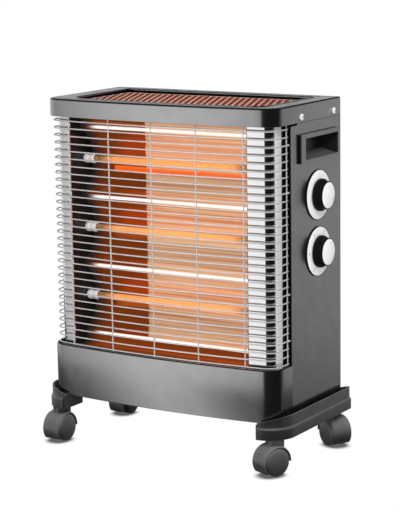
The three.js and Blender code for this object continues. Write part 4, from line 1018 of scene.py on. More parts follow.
def build_front_guard():
    """Round chromed wires bent round both corners and welded to uprights behind them."""
    radius = sizes().wire / 2
    end_y = GUARD_HIGH.y - 8 * MM
    side = SIDE - GUARD_INSET
    run = corner_depth() - end_y
    bm = bmesh.new()
    first = ring_of_circle(bm, Vector((MIDDLE_X - side, end_y, BOTTOM_WIRE)), radius, 8, (0, 1, 0))
    ring = push(bm, first, (0, run, 0))
    ring = wrap(bm, ring, 8, 20)
    ring = push(bm, ring, (0, -run, 0))
    close(bm, first, ring)
    repeat(bm, WIRE_COUNT, (0, 0, WIRE_PITCH))

    behind = GUARD_INSET + sizes().wire * 0.85
    feet = [(MIDDLE_X + direction * (SIDE - behind), end_y) for direction in (1, -1)]
    middle = (REFLECTOR_LOW.x + REFLECTOR_HIGH.x) / 2
    for number in range(UPRIGHT_COUNT):
        x = middle + (number - (UPRIGHT_COUNT - 1) / 2) * UPRIGHT_PITCH
        feet.append((x, BOW_CENTRE - math.sqrt((BOW_RADIUS - behind) ** 2 - (x - MIDDLE_X) ** 2)))
    for x, y in feet:
        rod(bm, Vector((x, y, GUARD_LOW.z)), radius * 1.05, 8, (0, 0, GUARD_HIGH.z - GUARD_LOW.z))

    top_wire = BOTTOM_WIRE + (WIRE_COUNT - 1) * WIRE_PITCH
    for number in HOOKED_WIRES:
        z = top_wire - (number - 1) * WIRE_PITCH
        for direction in (1, -1):
            x = MIDDLE_X + direction * (side + 1 * MM)
            foot = ring_of_circle(bm, Vector((x, end_y - 2 * MM, z)), radius * 1.4, 8, (0, 1, 0))
            ring = push(bm, foot, (0, 6.5 * MM, 0))
            bend = (x, end_y + 4.5 * MM, z - 2.6 * MM)
            ring = turn(bm, ring, bend, math.radians(-90), 5, axis=(1, 0, 0))
            ring = push(bm, ring, (0, 0, -2.5 * MM))
            close(bm, foot, ring)
    stand("guard_wires", bm, chrome(), nodes=("front_guard",), sharp=60)


def build_front_skirt():
    """Bowed panel under the guard, its top edge rolled inwards over the guard's shelf."""
    bottom, top, end = SKIRT_LOW.z, SKIRT_HIGH.z, SKIRT_HIGH.y
    roll, shelf, flange = 3 * MM, 8 * MM, 11 * MM
    points = [
        (-flange, bottom),
        (-SHEET, bottom),
        *quarter_round((-SHEET, bottom + SHEET), SHEET, -90, 3)[1:],
        *quarter_round((-roll, top - roll), roll, 0, 5),
        (-roll, top - SHEET),
        (-SHEET, top - roll),
        (-SHEET, top - shelf),
        (-flange, top - shelf),
        (-flange, top - shelf - SHEET),
        (-SHEET, top - shelf - SHEET),
        (-SHEET, bottom + SHEET),
        (-flange, bottom + SHEET),
    ]
    run = corner_depth() - end
    bm = bmesh.new()
    section = polyline(bm, left_section(points, SIDE, end), closed=True)
    ring = push(bm, section, (0, run, 0))
    ring = wrap(bm, ring, 14, 36)
    ring = push(bm, ring, (0, -run, 0))
    close(bm, section, ring)
    stand("skirt_shell", bm, grey_lacquer(), nodes=("front_skirt",))


def build_columns():
    """Polished wings from the chamber's edges round both corners."""
    low, high, thickness = COLUMN_LOW, COLUMN_HIGH, 1 * MM
    reach = BOW_RADIUS - COLUMN_INSET
    depth = corner_depth()
    for name, edge_x in (("right_column", COLUMN_LOW.x), ("left_column", LEFT_COLUMN_EDGE)):
        lean = math.asin(min(abs(edge_x - MIDDLE_X) / reach, 1))
        points = [
            (MIDDLE_X + (reach - out) * math.sin(lean), BOW_CENTRE - (reach - out) * math.cos(lean), z)
            for out, z in ((0, low.z), (0, high.z), (thickness, high.z), (thickness, low.z))
        ]
        bm = bmesh.new()
        section = polyline(bm, points, closed=True)
        ring = turn(bm, section, (MIDDLE_X, BOW_CENTRE, 0), max(bow_turn() - lean, 1e-4), 6)
        ring = turn(bm, ring, (MIDDLE_X + BOW_HALF, depth, 0), math.pi / 2 - bow_turn(), 24)
        ring = push(bm, ring, (0, high.y - depth, 0))
        close(bm, section, ring)
        if name == "left_column":
            to_left_side(bm)
        stand(f"{name}_plate", bm, column_chrome(), nodes=(name,))


def build_panels():
    """Side panels, rear cover and floor of the cabinet."""
    for node in ("right_side_panel", "left_side_panel", "rear_cover"):
        dressed(node, panel_lacquer(), sizes().sheet_bevel)
    dressed("base_pan", zinc_steel(), sizes().fine_bevel)
    dressed("cord_gland", satin_black(), 0.4 * MM, sharp=50)


def build_screws():
    """Pan-head cover screws with a cross recess."""
    head, shank_radius, recess = 2.4 * MM, 2 * MM, 1.1 * MM
    dome, steps = math.radians(70), 5
    for node in ("right_front_screw", "right_rear_screw", "left_front_screw", "left_rear_screw"):
        low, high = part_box(node)
        out = 1 if node.startswith("right") else -1
        middle = (low + high) / 2
        radius = (high.z - low.z) / 2
        face, inner = (high.x, low.x) if out > 0 else (low.x, high.x)
        seat = face - out * head
        shank = abs(seat - inner)
        profile = [(0, -shank), (shank_radius, -shank), (shank_radius, 0), (radius, 0)]
        for step in range(steps + 1):
            angle = dome * step / steps
            rise = 0.3 + 0.7 * math.sin(angle) / math.sin(dome)
            profile.append((radius * math.cos(angle) ** 0.6, head * rise))
        bm = bmesh.new()
        lathe(bm, profile, 24)
        rim = open_rings(bm)[0]
        arm, half = radius * 0.46, radius * 0.12
        corners = [
            (x * c - y * s, x * s + y * c, head)
            for c, s in ((1, 0), (0, 1), (-1, 0), (0, -1))
            for x, y in ((arm, -half), (arm, half), (half, half))
        ]
        cross = polyline(bm, corners, closed=True)
        bmesh.ops.bridge_loops(bm, edges=rim + cross)
        close(bm, push(bm, cross, (0, 0, -recess)))
        place = turned_at((seat, middle.y, middle.z), 90 * out) @ Matrix.Rotation(math.radians(30), 4, "Z")
        bmesh.ops.transform(bm, matrix=place, verts=bm.verts)
        stand(f"{node}_head", bm, bright_screw(), nodes=(node,), sharp=40)


# ---------------------------------------------------------------------------
# Heating chamber
# ---------------------------------------------------------------------------


def build_reflector():
    """Polished sheet with three round troughs between rounded ridges."""
    low, high, wall = REFLECTOR_LOW, REFLECTOR_HIGH, 1 * MM
    chord = RIDGE_PITCH - RIDGE_WIDTH
    radius = ((chord / 2) ** 2 + TROUGH_DEPTH**2) / (2 * TROUGH_DEPTH)
    sweep = 2 * math.asin(chord / 2 / radius)
    bm = bmesh.new()

    def line_to(vertex, z):
        fresh = bmesh.ops.extrude_vert_indiv(bm, verts=[vertex])["verts"][0]
        fresh.co = (low.x, RIDGE_Y, z)
        return fresh

    def arc(vertex, y, z, angle, steps):
        return swing(bm, vertex, (low.x, y, z), (1, 0, 0), angle, steps)

    tip = line_to(bm.verts.new((low.x, low.y, low.z + wall)), low.z + wall)
    for number in range(len(TUBE_NUMBERS) + 1):
        z = BOTTOM_RIDGE + number * RIDGE_PITCH
        tip = line_to(tip, z - RIDGE_WIDTH / 2)
        tip = arc(tip, RIDGE_Y, z, -math.pi, 8)
        if number < len(TUBE_NUMBERS):
            tip = arc(tip, RIDGE_Y + TROUGH_DEPTH - radius, z + RIDGE_PITCH / 2, sweep, 24)
    line_to(tip, high.z)
    bmesh.ops.remove_doubles(bm, verts=bm.verts, dist=SMALL)
    ring, parts = bm.edges[:], 24
    for _ in range(parts):
        ring = push(bm, ring, ((high.x - low.x) / parts, 0, 0))
    sheet = stand(
        "reflector_sheet", bm, reflector_mirror(), nodes=("reflector",), sharp=50
    )
    thickness = sheet.modifiers.new("wall", "SOLIDIFY")
    thickness.thickness = 0.8 * MM
    thickness.offset = 0


def build_brackets():
    """Upright plates that hold the tubes' ends."""
    for node in ("right_tube_bracket", "left_tube_bracket"):
        dressed(node, dark_steel(), sizes().fine_bevel)


def coil_span():
    """Where the wound part of the coils begins and ends along X."""
    lead = 16 * MM
    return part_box("left_end_cap_1")[1].x + lead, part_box("right_end_cap_1")[0].x - lead


def build_tubes():
    """Quartz tubes with a wound coil inside and a ceramic cap at each end."""
    wall, rim, chamfer = 1.1 * MM, 0.2 * MM, 0.3 * MM
    for number in TUBE_NUMBERS:
        node = f"quartz_tube_{number}"
        low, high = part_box(node)
        middle = (low + high) / 2
        radius = (high.z - low.z) / 2
        outer = [
            (radius - wall, low.x), (radius - rim, low.x), (radius, low.x + chamfer),
            (radius, high.x - chamfer), (radius - rim, high.x), (radius - wall, high.x),
        ]
        bm = bmesh.new()
        lathe(bm, outer, 32, turned_at((0, middle.y, middle.z), 90), closed=True)
        stand(f"{node}_glass", bm, hot_quartz(), nodes=(node,))
        build_coil(number, middle)
        for end in ("left", "right"):
            build_end_cap(f"{end}_end_cap_{number}", end == "left")


def build_coil(number, middle):
    """Helix of resistance wire with a straight lead at each end."""
    node = f"heating_coil_{number}"
    low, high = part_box(node)
    first, last = coil_span()
    wire, radius, turns = sizes().coil_wire / 2, sizes().coil_radius, sizes().coil_turns
    pitch, steps = (last - first) / turns, 12
    centre = (first, middle.y, middle.z)
    bm = bmesh.new()
    ring = ring_of_circle(bm, Vector((first, middle.y, middle.z + radius)), wire, 5, (0, 1, 0))
    turn(bm, ring, centre, 2 * math.pi, steps, axis=(1, 0, 0), advance=(pitch / steps, 0, 0))
    repeat(bm, turns, (pitch, 0, 0))
    bmesh.ops.remove_doubles(bm, verts=bm.verts, dist=SMALL)
    close(bm, *open_rings(bm))
    for begin, end in ((low.x, first + pitch), (last - pitch, high.x)):
        rod(bm, Vector((begin, middle.y, middle.z)), 0.8 * MM, 8, (end - begin, 0, 0))
    for x in (first, last):
        disc(bm, radius + wire, 1.2 * MM, turned_at((x, middle.y, middle.z), 90), 16)
    stand(f"{node}_wire", bm, hot_wire(), nodes=(node,))


def build_end_cap(node, left):
    """Steatite cap with two round lobes and a spigot through the bracket."""
    low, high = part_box(node)
    middle = (low + high) / 2
    radius = (high.z - low.z) / 2
    spigot, bore, edge = 8 * MM, 1.2 * MM, 0.3 * MM
    body = (high.x - low.x) - spigot
    lobe, steps = body * 0.425, 6
    profile = [(bore, -spigot), (6 * MM, -spigot), (6 * MM, 0)]
    for start in (edge, body - lobe):
        for step in range(steps + 1):
            angle = math.pi * step / steps
            bulge = math.sin(angle) ** 0.45 if 0 < step < steps else 0
            along = start + (lobe - edge) * (1 - math.cos(angle)) / 2
            profile.append((radius * (0.86 + 0.14 * bulge), along))
    profile += [(6.1 * MM, body), (6.1 * MM, 4 * MM), (bore, 4 * MM)]
    bm = bmesh.new()
    face = low.x + spigot if left else high.x - spigot
    lathe(bm, profile, 32, turned_at((face, middle.y, middle.z), 90 if left else -90), closed=True)
    stand(f"{node}_ceramic", bm, ceramic(), nodes=(node,), sharp=50)


# ---------------------------------------------------------------------------
# Handles and controls
# ---------------------------------------------------------------------------


def build_handles():
    """Finger-grip cups in both side panels."""
    for node in ("right_handle_cup", "left_handle_cup"):
        dressed(node, handle_plastic(), sizes().handle_bevel, segments=3)


def build_dials():
    """Round pale plates with a dark edge, and the selector's printed marks."""
    hub, back, lip = 5.9 * MM, 0.3 * MM, 0.95 * MM
    for name in ("thermostat", "selector"):
        node = f"{name}_dial_plate"
        low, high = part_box(node)
        centre = joint_place(f"{name}_turn")
        place = turned_at(centre, 90)
        radius = (high.z - low.z) / 2
        thick = high.x - centre.x
        face = [
            (hub, back), (radius - 1 * MM, back), (radius - 1 * MM, thick - 0.2 * MM),
            (radius - 1.4 * MM, thick), (hub, thick),
        ]
        bm = bmesh.new()
        lathe(bm, face, 96, place, closed=True)
        stand(f"{name}_dial_face", bm, dial_white(), nodes=(node,))
        edge = [
            (radius - lip, back), (radius, back), (radius, thick - 0.3 * MM), (radius - 0.3 * MM, thick),
            (radius - lip, thick - 0.2 * MM),
        ]
        bm = bmesh.new()
        lathe(bm, edge, 96, place, closed=True)
        stand(f"{name}_dial_edge", bm, dark_steel())
    mark_selector()


def mark_selector():
    """Plain numbers and off dots round the selector's dial, placed as on a clock."""
    centre = joint_place("selector_turn")
    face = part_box("selector_dial_plate")[1].x - centre.x
    radius = 31.3 * MM
    marks = ((9, ""), (11, "1"), (1, "2"), (3, ""), (5, "1"), (7, "2"))
    for number, (hour, text) in enumerate(marks, start=1):
        angle = math.radians(hour * 30)
        bm = bmesh.new()
        if text:
            print_number(bm, text)
        else:
            disc(bm, 1.3 * MM, 0.1 * MM)
        local = Matrix.Translation((-radius * math.cos(angle), radius * math.sin(angle), face + 0.06 * MM))
        upright = Matrix.Rotation(math.radians(90) - angle, 4, "Z")
        bmesh.ops.transform(bm, matrix=turned_at(centre, 90) @ local @ upright, verts=bm.verts)
        stand(f"selector_mark_{number}", bm, dial_print(), turned=False)


def print_number(bm, text):
    """A flat printed number, made a mesh."""
    curve = bpy.data.curves.new("mark", "FONT")
    curve.body = text
    curve.size = 7.4 * MM
    curve.extrude = 0.05 * MM
    curve.offset = 0.08 * MM
    curve.align_x = "CENTER"
    curve.align_y = "CENTER"
    holder = bpy.data.objects.new("mark", curve)
    mesh = bpy.data.meshes.new_from_object(holder)
    bm.from_mesh(mesh)
    bpy.data.objects.remove(holder)
    bpy.data.curves.remove(curve)
    bpy.data.meshes.remove(mesh)


def build_knobs():
    """Knobs with a stepped foot, a plain grip and a white face with a pointer dot."""
    grip, dot_reach = 21.8 * MM, 15 * MM
    for name, pointer in (("thermostat", 120), ("selector", 30)):
        node = f"{name}_knob"
        low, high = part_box(node)
        centre = joint_place(f"{name}_turn")
        place = turned_at(centre, 90)
        foot, face = low.x - centre.x, high.x - centre.x
        flange = (high.z - low.z) / 2
        profile = [
            (3.4 * MM, foot), (flange - 0.6 * MM, foot), (flange, foot + 0.6 * MM),
            (flange - 0.3 * MM, foot + 5.2 * MM), (flange - 1.1 * MM, foot + 6.2 * MM),
            (grip + 1.2 * MM, foot + 6.5 * MM), (grip + 0.5 * MM, foot + 7.4 * MM),
            (grip, face - 1.6 * MM), (grip - 0.45 * MM, face - 0.5 * MM), (grip - 1.2 * MM, face),
            (grip - 1.5 * MM, face - 0.5 * MM), (0, face - 0.5 * MM),
        ]
        bm = bmesh.new()
        lathe(bm, profile, 96, place)
        stand(f"{name}_knob_grip", bm, gloss_black(), body=node, nodes=(node,), sharp=40)
        plate = [
            (0, face - 0.5 * MM), (grip - 1.6 * MM, face - 0.5 * MM), (grip - 1.6 * MM, face - 0.2 * MM),
            (grip - 2 * MM, face), (0, face),
        ]
        bm = bmesh.new()
        lathe(bm, plate, 96, place)
        stand(f"{name}_knob_face", bm, dial_white(), body=node, sharp=40)
        angle = math.radians(pointer)
        local = Matrix.Translation((-dot_reach * math.cos(angle), dot_reach * math.sin(angle), face))
        bm = bmesh.new()
        disc(bm, 1 * MM, 0.12 * MM, place @ local)
        stand(f"{name}_knob_pointer", bm, dial_print(), body=node)


def build_inner_parts():
    """Switch bodies and the electrical pieces in the base."""
    for node in ("thermostat_switch", "selector_switch", "tip_over_switch", "terminal_block"):
        dressed(node, pale_plastic(), sizes().fine_bevel)


# ---------------------------------------------------------------------------
# Foot rails and castors
# ---------------------------------------------------------------------------


def build_foot_rails():
    """Moulded rails: a wall with a bevelled step round three sides, a floor and inner walls."""
    for node in ("right_foot_rail", "left_foot_rail"):
        bm = bmesh.new()
        build_rail_wall(bm)
        build_rail_floor(bm)
        if node == "left_foot_rail":
            to_left_side(bm)
        stand(f"{node}_moulding", bm, satin_black(), nodes=(node,), sharp=40)


def rail_band():
    """Wall of a rail as [inset, height] points: rounded foot band, bevel, upper band and rim."""
    low, step, high = RAIL_LOW.z, RAIL_LOW.z + 17 * MM, RAIL_HIGH.z
    back, foot = RAIL_STEP + RAIL_WALL, 1.6 * MM
    return [
        *reversed(quarter_round((foot, low + foot), foot, 180)),
        (0, step - 1.2 * MM), (0.35 * MM, step - 0.2 * MM), (RAIL_STEP - 0.4 * MM, step + 1.6 * MM),
        (RAIL_STEP, step + 2.6 * MM), (RAIL_STEP, high - 1.2 * MM), (RAIL_STEP + 0.35 * MM, high - 0.35 * MM),
        (RAIL_STEP + 1.2 * MM, high), (back - 0.5 * MM, high - 0.3 * MM), (back, high - 1.2 * MM),
        (back, low + 0.5 * MM), (back - 0.5 * MM, low),
    ]


def build_rail_wall(bm):
    """Carries the wall from the inner end of the front, along the side, to the inner end at the back."""
    inner, outer, front, back = RAIL_INNER, RAIL_HIGH.x, RAIL_LOW.y, RAIL_HIGH.y
    radius, small = outer - inner, RAIL_BACK_RADIUS
    wall = bmesh.new()
    section = polyline(wall, [(inner, front + inset, z) for inset, z in rail_band()], closed=True)
    ring = turn(wall, section, (inner, front + radius, 0), math.pi / 2, 20)
    ring = push(wall, ring, (0, back - small - front - radius, 0))
    ring = turn(wall, ring, (outer - small, back - small, 0), math.pi / 2, 10)
    ring = push(wall, ring, (inner - outer + small, 0, 0))
    close(wall, section, ring)
    slope = Vector((RAIL_FRONT_RIM - RAIL_HIGH.z, 0, outer - RAIL_STEP - RAIL_WALL - inner)).normalized()
    trim(wall, (inner, 0, RAIL_FRONT_RIM), slope)
    merge_into(bm, wall)


def build_rail_floor(bm):
    """Floor that the cabinet stands on, its inner walls with the waist, the ribs and the stem bosses."""
    inner, outer, front, back = RAIL_INNER, RAIL_HIGH.x, RAIL_LOW.y, RAIL_HIGH.y
    low, deck = RAIL_LOW.z, COVER_FOOT - 0.3 * MM
    thick, slope, chamfer = 3 * MM, 12 * MM, 8 * MM
    waist_x = MIDDLE_X + SIDE - 9.5 * MM
    waist_back, waist_front = BACK_Y - 52 * MM, BACK_Y - 161 * MM
    edge = RAIL_STEP + RAIL_WALL / 2

    floor = bmesh.new()
    start = floor.verts.new((inner, front + edge, deck - thick))
    last = swing(floor, start, (inner, front + outer - inner, 0), (0, 0, 1), math.pi / 2, 16)
    for x, y in (
        (outer - edge, back - edge - chamfer), (outer - edge - chamfer, back - edge), (inner, back - edge),
        (inner, waist_back + slope), (waist_x, waist_back), (waist_x, waist_front),
        (inner, waist_front - slope),
    ):
        fresh = floor.verts.new((x, y, deck - thick))
        floor.edges.new((last, fresh))
        last = fresh
    floor.edges.new((last, start))
    outline = floor.edges[:]
    close(floor, outline, push(floor, outline, (0, 0, thick)))
    merge_into(bm, floor)

    walls = bmesh.new()
    flush = inner + 0.01 * MM
    run = [
        (flush, front + RAIL_STEP + 0.5 * MM), (flush, waist_front - slope), (waist_x, waist_front),
        (waist_x, waist_back), (flush, waist_back + slope), (flush, back - RAIL_STEP - 0.5 * MM),
    ]
    line = polyline(walls, [(x, y, low + 0.2 * MM) for x, y in run])
    push(walls, line, (0, 0, deck - low - 0.4 * MM))
    bmesh.ops.recalc_face_normals(walls, faces=walls.faces)
    bmesh.ops.solidify(walls, geom=walls.faces[:], thickness=RAIL_WALL)
    merge_into(bm, walls)

    bore, boss = 4.6 * MM, 11 * MM
    for name in ("right_front", "right_rear"):
        stem = joint_place(f"{name}_swivel")
        profile = [
            (bore, low + 0.3 * MM), (boss, low + 0.3 * MM), (boss, deck - 1 * MM), (bore, deck - 1 * MM)
        ]
        lathe_into(bm, profile, 32, Matrix.Translation((stem.x, stem.y, 0)), closed=True)
    for share in (1 / 3, 2 / 3):
        y = waist_front + (waist_back - waist_front) * share
        block(bm, (waist_x + 1 * MM, y - 1 * MM, low + 1 * MM), (outer - edge, y + 1 * MM, deck - 1 * MM))


def build_castors():
    """Hood, stem and both wheels of each castor, at the heading that the frame gives."""
    for name in CASTORS:
        stem = joint_place(f"{name}_swivel")
        axle = next(j["axis"] for j in frame["joints"] if j["name"] == f"{name}_wheel_a_spin")
        place = turned_at((stem.x, stem.y, 0), math.degrees(math.atan2(axle[1], axle[0])), "Z")
        build_castor_hood(name, place)
        dressed(f"{name}_castor_stem", zinc_steel(), 0, f"{name}_castor", sharp=50)
        for wheel, direction in (("wheel_a", 1), ("wheel_b", -1)):
            build_castor_wheel(name, wheel, direction, place)


def build_castor_hood(name, place):
    """Fenders over both wheels, the web between them and the neck for the stem."""
    trail, axle_z = CASTOR_TRAIL, WHEEL_RADIUS
    inner, outer = 23.2 * MM, 26 * MM
    web, half, root = 4 * MM, 16.5 * MM, 3 * MM
    start, sweep, steps = math.radians(-37), math.radians(219), 44
    along_x = (1, 0, 0)
    bm = bmesh.new()

    def at(radius, x):
        return x, trail + radius * math.cos(start), axle_z + radius * math.sin(start)

    for side in (1, -1):
        shape = [
            (inner, side * root), (inner, side * half), (inner + 0.8 * MM, side * (half + 0.6 * MM)),
            (outer - 1.4 * MM, side * (half + 0.2 * MM)), (outer - 0.4 * MM, side * (half - 1.2 * MM)),
            (outer, side * (half - 3 * MM)), (outer, side * root),
        ]
        section = polyline(bm, [at(radius, x) for radius, x in shape], closed=True)
        ring = turn(bm, section, (0, trail, axle_z), sweep, steps, axis=along_x)
        close(bm, section, ring)
    first = bm.verts.new(at(outer, -web))
    last = swing(bm, first, (0, trail, axle_z), along_x, sweep, steps)
    bm.edges.new((last, first))
    web_edge = [edge for edge in bm.edges if edge.is_wire]
    close(bm, web_edge, push(bm, web_edge, (2 * web, 0, 0)))
    neck_top, neck_foot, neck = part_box(f"{name}_castor_hood")[1].z, 24 * MM, 14.5 * MM
    profile = [
        (0, neck_foot), (neck, neck_foot), (neck, neck_top - 0.5 * MM), (neck - 0.5 * MM, neck_top),
        (0, neck_top),
    ]
    lathe_into(bm, profile, 40)
    for side in (1, -1):
        rod(bm, Vector((side * root, trail, axle_z)), 3 * MM, 20, (side * 12 * MM, 0, 0))
    bmesh.ops.transform(bm, matrix=place, verts=bm.verts)
    node = f"{name}_castor_hood"
    stand(f"{name}_castor_fender", bm, castor_black(), f"{name}_castor", (node,), sharp=40)


def build_castor_wheel(name, wheel, direction, place):
    """Domed wheel with a rounded tread."""
    radius, inner, outer, dome = WHEEL_RADIUS, 4.3 * MM, 15.5 * MM, 4 * MM
    edge, steps = 0.2 * MM, 12
    profile = [
        (3.4 * MM, inner), (radius - 1 * MM, inner), (radius, inner + 1 * MM), (radius, outer - 1.2 * MM)
    ]
    for step in range(steps):
        angle = math.radians(90 * step / steps)
        along = outer - edge + (dome + edge) * math.sin(angle)
        profile.append(((radius - 0.8 * MM) * math.cos(angle), along))
    profile.append((0, outer + dome))
    bm = bmesh.new()
    lathe(bm, profile, 64, place @ turned_at((0, CASTOR_TRAIL, radius), 90 * direction))
    node = f"{name}_castor_{wheel}"
    stand(f"{node}_disc", bm, castor_black(), f"{name}_{wheel}", (node,), sharp=50)


# ---------------------------------------------------------------------------
# Stage
# ---------------------------------------------------------------------------


def place_camera(stage):
    """The photograph's view, 400 by 512."""
    azimuth, elevation, roll = (math.radians(a) for a in (stage.azimuth, stage.elevation, stage.roll))
    back = Vector((
        math.sin(azimuth) * math.cos(elevation), -math.cos(azimuth) * math.cos(elevation), math.sin(elevation)
    ))
    right = Vector((math.cos(azimuth), math.sin(azimuth), 0))
    level = Matrix((right, back.cross(right), back)).transposed().to_4x4()
    target = Vector((MIDDLE_X + 12.056 * MM, BACK_Y - 106.5 * MM, 306.893 * MM))
    data = bpy.data.cameras.new("camera")
    data.lens = stage.lens
    data.sensor_width = 36
    data.clip_start, data.clip_end = 0.05, 100
    camera = bpy.data.objects.new("camera", data)
    bpy.context.scene.collection.objects.link(camera)
    turned = level @ Matrix.Rotation(roll, 4, "Z")
    camera.matrix_world = Matrix.Translation(target + back * stage.distance) @ turned
    bpy.context.scene.camera = camera


def key_light(power):
    """Large light in front and to the right, which no bright surface mirrors."""
    place, target = Vector((1.7, -2.2, 2.6)), Vector((0, 0, 0.3))
    data = bpy.data.lights.new("key_light", "AREA")
    data.shape = "RECTANGLE"
    data.size = data.size_y = 1.4
    data.energy = power
    light = bpy.data.objects.new("key_light", data)
    light.location = place
    light.rotation_mode = "QUATERNION"
    light.rotation_quaternion = (target - place).to_track_quat("-Z", "Y")
    light.visible_glossy = False
    bpy.context.scene.collection.objects.link(light)


def seen_plainly(shader):
    """1 where the camera sees a thing straight or through glass."""
    path = shader.id_data.nodes.new("ShaderNodeLightPath")
    return sum_of(shader, "MAXIMUM", path.outputs["Is Camera Ray"], path.outputs["Is Transmission Ray"])


def mix_shaders(share, first, second):
    """One shader that gives way to another."""
    tree = first.node.id_data
    mix = tree.nodes.new("ShaderNodeMixShader")
    for output, socket in zip((share, first, second), mix.inputs):
        tree.links.new(output, socket)
    return mix.outputs["Shader"]


def round_the_room(shader, azimuth, stops):
    """Brightness at a few directions round the heater, in degrees from the front."""
    tree = shader.id_data
    ramp = tree.nodes.new("ShaderNodeValToRGB")
    tree.links.new(spread(shader, azimuth, 0, 1, -math.pi, math.pi), ramp.inputs["Fac"])
    marks = ramp.color_ramp.elements
    for degrees, brightness in stops:
        mark = marks.new(degrees / 360 + 0.5)
        mark.color = (brightness, brightness, brightness, 1)
    marks.remove(marks[0])
    marks.remove(marks[-1])
    return ramp.outputs["Color"]


def white_studio(fill):
    """A white room with dark flats, which only the bright surfaces mirror, and an even fill."""
    world = bpy.data.worlds.new("studio")
    bpy.context.scene.world = world
    world.use_nodes = True
    tree = world.node_tree
    even = tree.nodes["Background"]
    even.inputs["Color"].default_value = (1, 1, 1, 1)
    even.inputs["Strength"].default_value = fill
    axes = axes_of(even, "Generated")
    azimuth = sum_of(even, "ARCTAN2", axes["X"], sum_of(even, "MULTIPLY", axes["Y"], -1))
    # The flats' lower edge stands level on the right and sinks towards the left
    leftward = sum_of(even, "MINIMUM", azimuth, -0.2)
    height = sum_of(even, "MULTIPLY_ADD", leftward, 0.0346, axes["Z"])
    upper = between(even, height, -0.2625, -0.2575)
    level = round_the_room(even, azimuth, ROOM_LEVEL)
    low = round_the_room(even, azimuth, ROOM_LOW)
    dimmed = tree.nodes.new("ShaderNodeVectorMath")
    dimmed.operation = "SCALE"
    tree.links.new(blend(even, upper, low, level), dimmed.inputs["Vector"])
    tree.links.new(between(even, axes["Z"], 0.06, 0.32, 1.0, 0.04), dimmed.inputs["Scale"])
    room = tree.nodes.new("ShaderNodeBackground")
    tree.links.new(dimmed.outputs["Vector"], room.inputs["Color"])
    white = tree.nodes.new("ShaderNodeBackground")
    white.inputs["Color"].default_value = (1, 1, 1, 1)
    path = tree.nodes.new("ShaderNodeLightPath")
    lit = mix_shaders(path.outputs["Is Glossy Ray"], even.outputs["Background"], room.outputs["Background"])
    shown = mix_shaders(seen_plainly(even), lit, white.outputs["Background"])
    tree.links.new(shown, tree.nodes["World Output"].inputs["Surface"])


def pale_floor():
    """Floor that is white to the camera away from the castors, with a painted contact shadow under them."""
    bm = bmesh.new()
    bmesh.ops.create_circle(bm, cap_ends=True, segments=64, radius=12)
    mesh = bpy.data.meshes.new("floor")
    bm.to_mesh(mesh)
    bm.free()
    floor = bpy.data.objects.new("floor", mesh)
    floor.location.z = -0.4 * MM
    bpy.context.scene.collection.objects.link(floor)
    floor.visible_glossy = False
    material = bpy.data.materials.new("pale_floor")
    material.use_nodes = True
    tree = material.node_tree
    shader = tree.nodes["Principled BSDF"]
    shader.inputs["Base Color"].default_value = (0.8, 0.8, 0.8, 1)
    shader.inputs["Roughness"].default_value = 0.9
    shader.inputs["Specular IOR Level"].default_value = 0
    white = tree.nodes.new("ShaderNodeEmission")
    # Painted contact shadow: the camera's white dims by ambient occlusion close to the castors.
    near = tree.nodes.new("ShaderNodeAmbientOcclusion")
    near.inputs["Distance"].default_value = 20 * MM
    tree.links.new(between(shader, near.outputs["AO"], 0.35, 0.8, 0.12, 1.0), white.inputs["Strength"])
    shown = mix_shaders(seen_plainly(shader), shader.outputs["BSDF"], white.outputs["Emission"])
    tree.links.new(shown, tree.nodes["Material Output"].inputs["Surface"])
    mesh.materials.append(material)


def build_stage():
    """The photograph's view of a plain white studio."""
    stage = bpy.context.scene.heater_stage
    place_camera(stage)
    white_studio(stage.fill)
    pale_floor()
    key_light(stage.key)
    bpy.context.scene.view_settings.view_transform = "Standard"


# ---------------------------------------------------------------------------
# Operators, panel and start
# ---------------------------------------------------------------------------


class HEATER_OT_stage(bpy.types.Operator):
    """Camera, light, floor and backdrop"""

    bl_idname = "heater.stage"
    bl_label = "Stage"
    bl_options = {"REGISTER", "UNDO"}

    def execute(self, context):
        build_stage()
        return {"FINISHED"}


class HEATER_OT_top_cover(bpy.types.Operator):
    """Pressed cover with its opening"""

    bl_idname = "heater.top_cover"
    bl_label = "Top cover"
    bl_options = {"REGISTER", "UNDO"}

    def execute(self, context):
        build_top_cover()
        return {"FINISHED"}


class HEATER_OT_top_grille(bpy.types.Operator):
    """Expanded metal in the top outlet"""

    bl_idname = "heater.top_grille"
    bl_label = "Top grille"
    bl_options = {"REGISTER", "UNDO"}

    def execute(self, context):
        build_top_grille()
        return {"FINISHED"}


class HEATER_OT_front_guard(bpy.types.Operator):
    """Chromed wires and uprights"""

    bl_idname = "heater.front_guard"
    bl_label = "Front guard"
    bl_options = {"REGISTER", "UNDO"}

    def execute(self, context):
        build_front_guard()
        return {"FINISHED"}


class HEATER_OT_front_skirt(bpy.types.Operator):
    """Bowed panel under the guard"""

    bl_idname = "heater.front_skirt"
    bl_label = "Front skirt"
    bl_options = {"REGISTER", "UNDO"}

    def execute(self, context):
        build_front_skirt()
        return {"FINISHED"}


class HEATER_OT_columns(bpy.types.Operator):
    """Polished corner columns"""

    bl_idname = "heater.columns"
    bl_label = "Columns"
    bl_options = {"REGISTER", "UNDO"}

    def execute(self, context):
        build_columns()
        return {"FINISHED"}


class HEATER_OT_panels(bpy.types.Operator):
    """Side panels, rear cover and base"""

    bl_idname = "heater.panels"
    bl_label = "Panels"
    bl_options = {"REGISTER", "UNDO"}

    def execute(self, context):
        build_panels()
        return {"FINISHED"}


class HEATER_OT_screws(bpy.types.Operator):
    """Cover screws"""

    bl_idname = "heater.screws"
    bl_label = "Screws"
    bl_options = {"REGISTER", "UNDO"}

    def execute(self, context):
        build_screws()
        return {"FINISHED"}


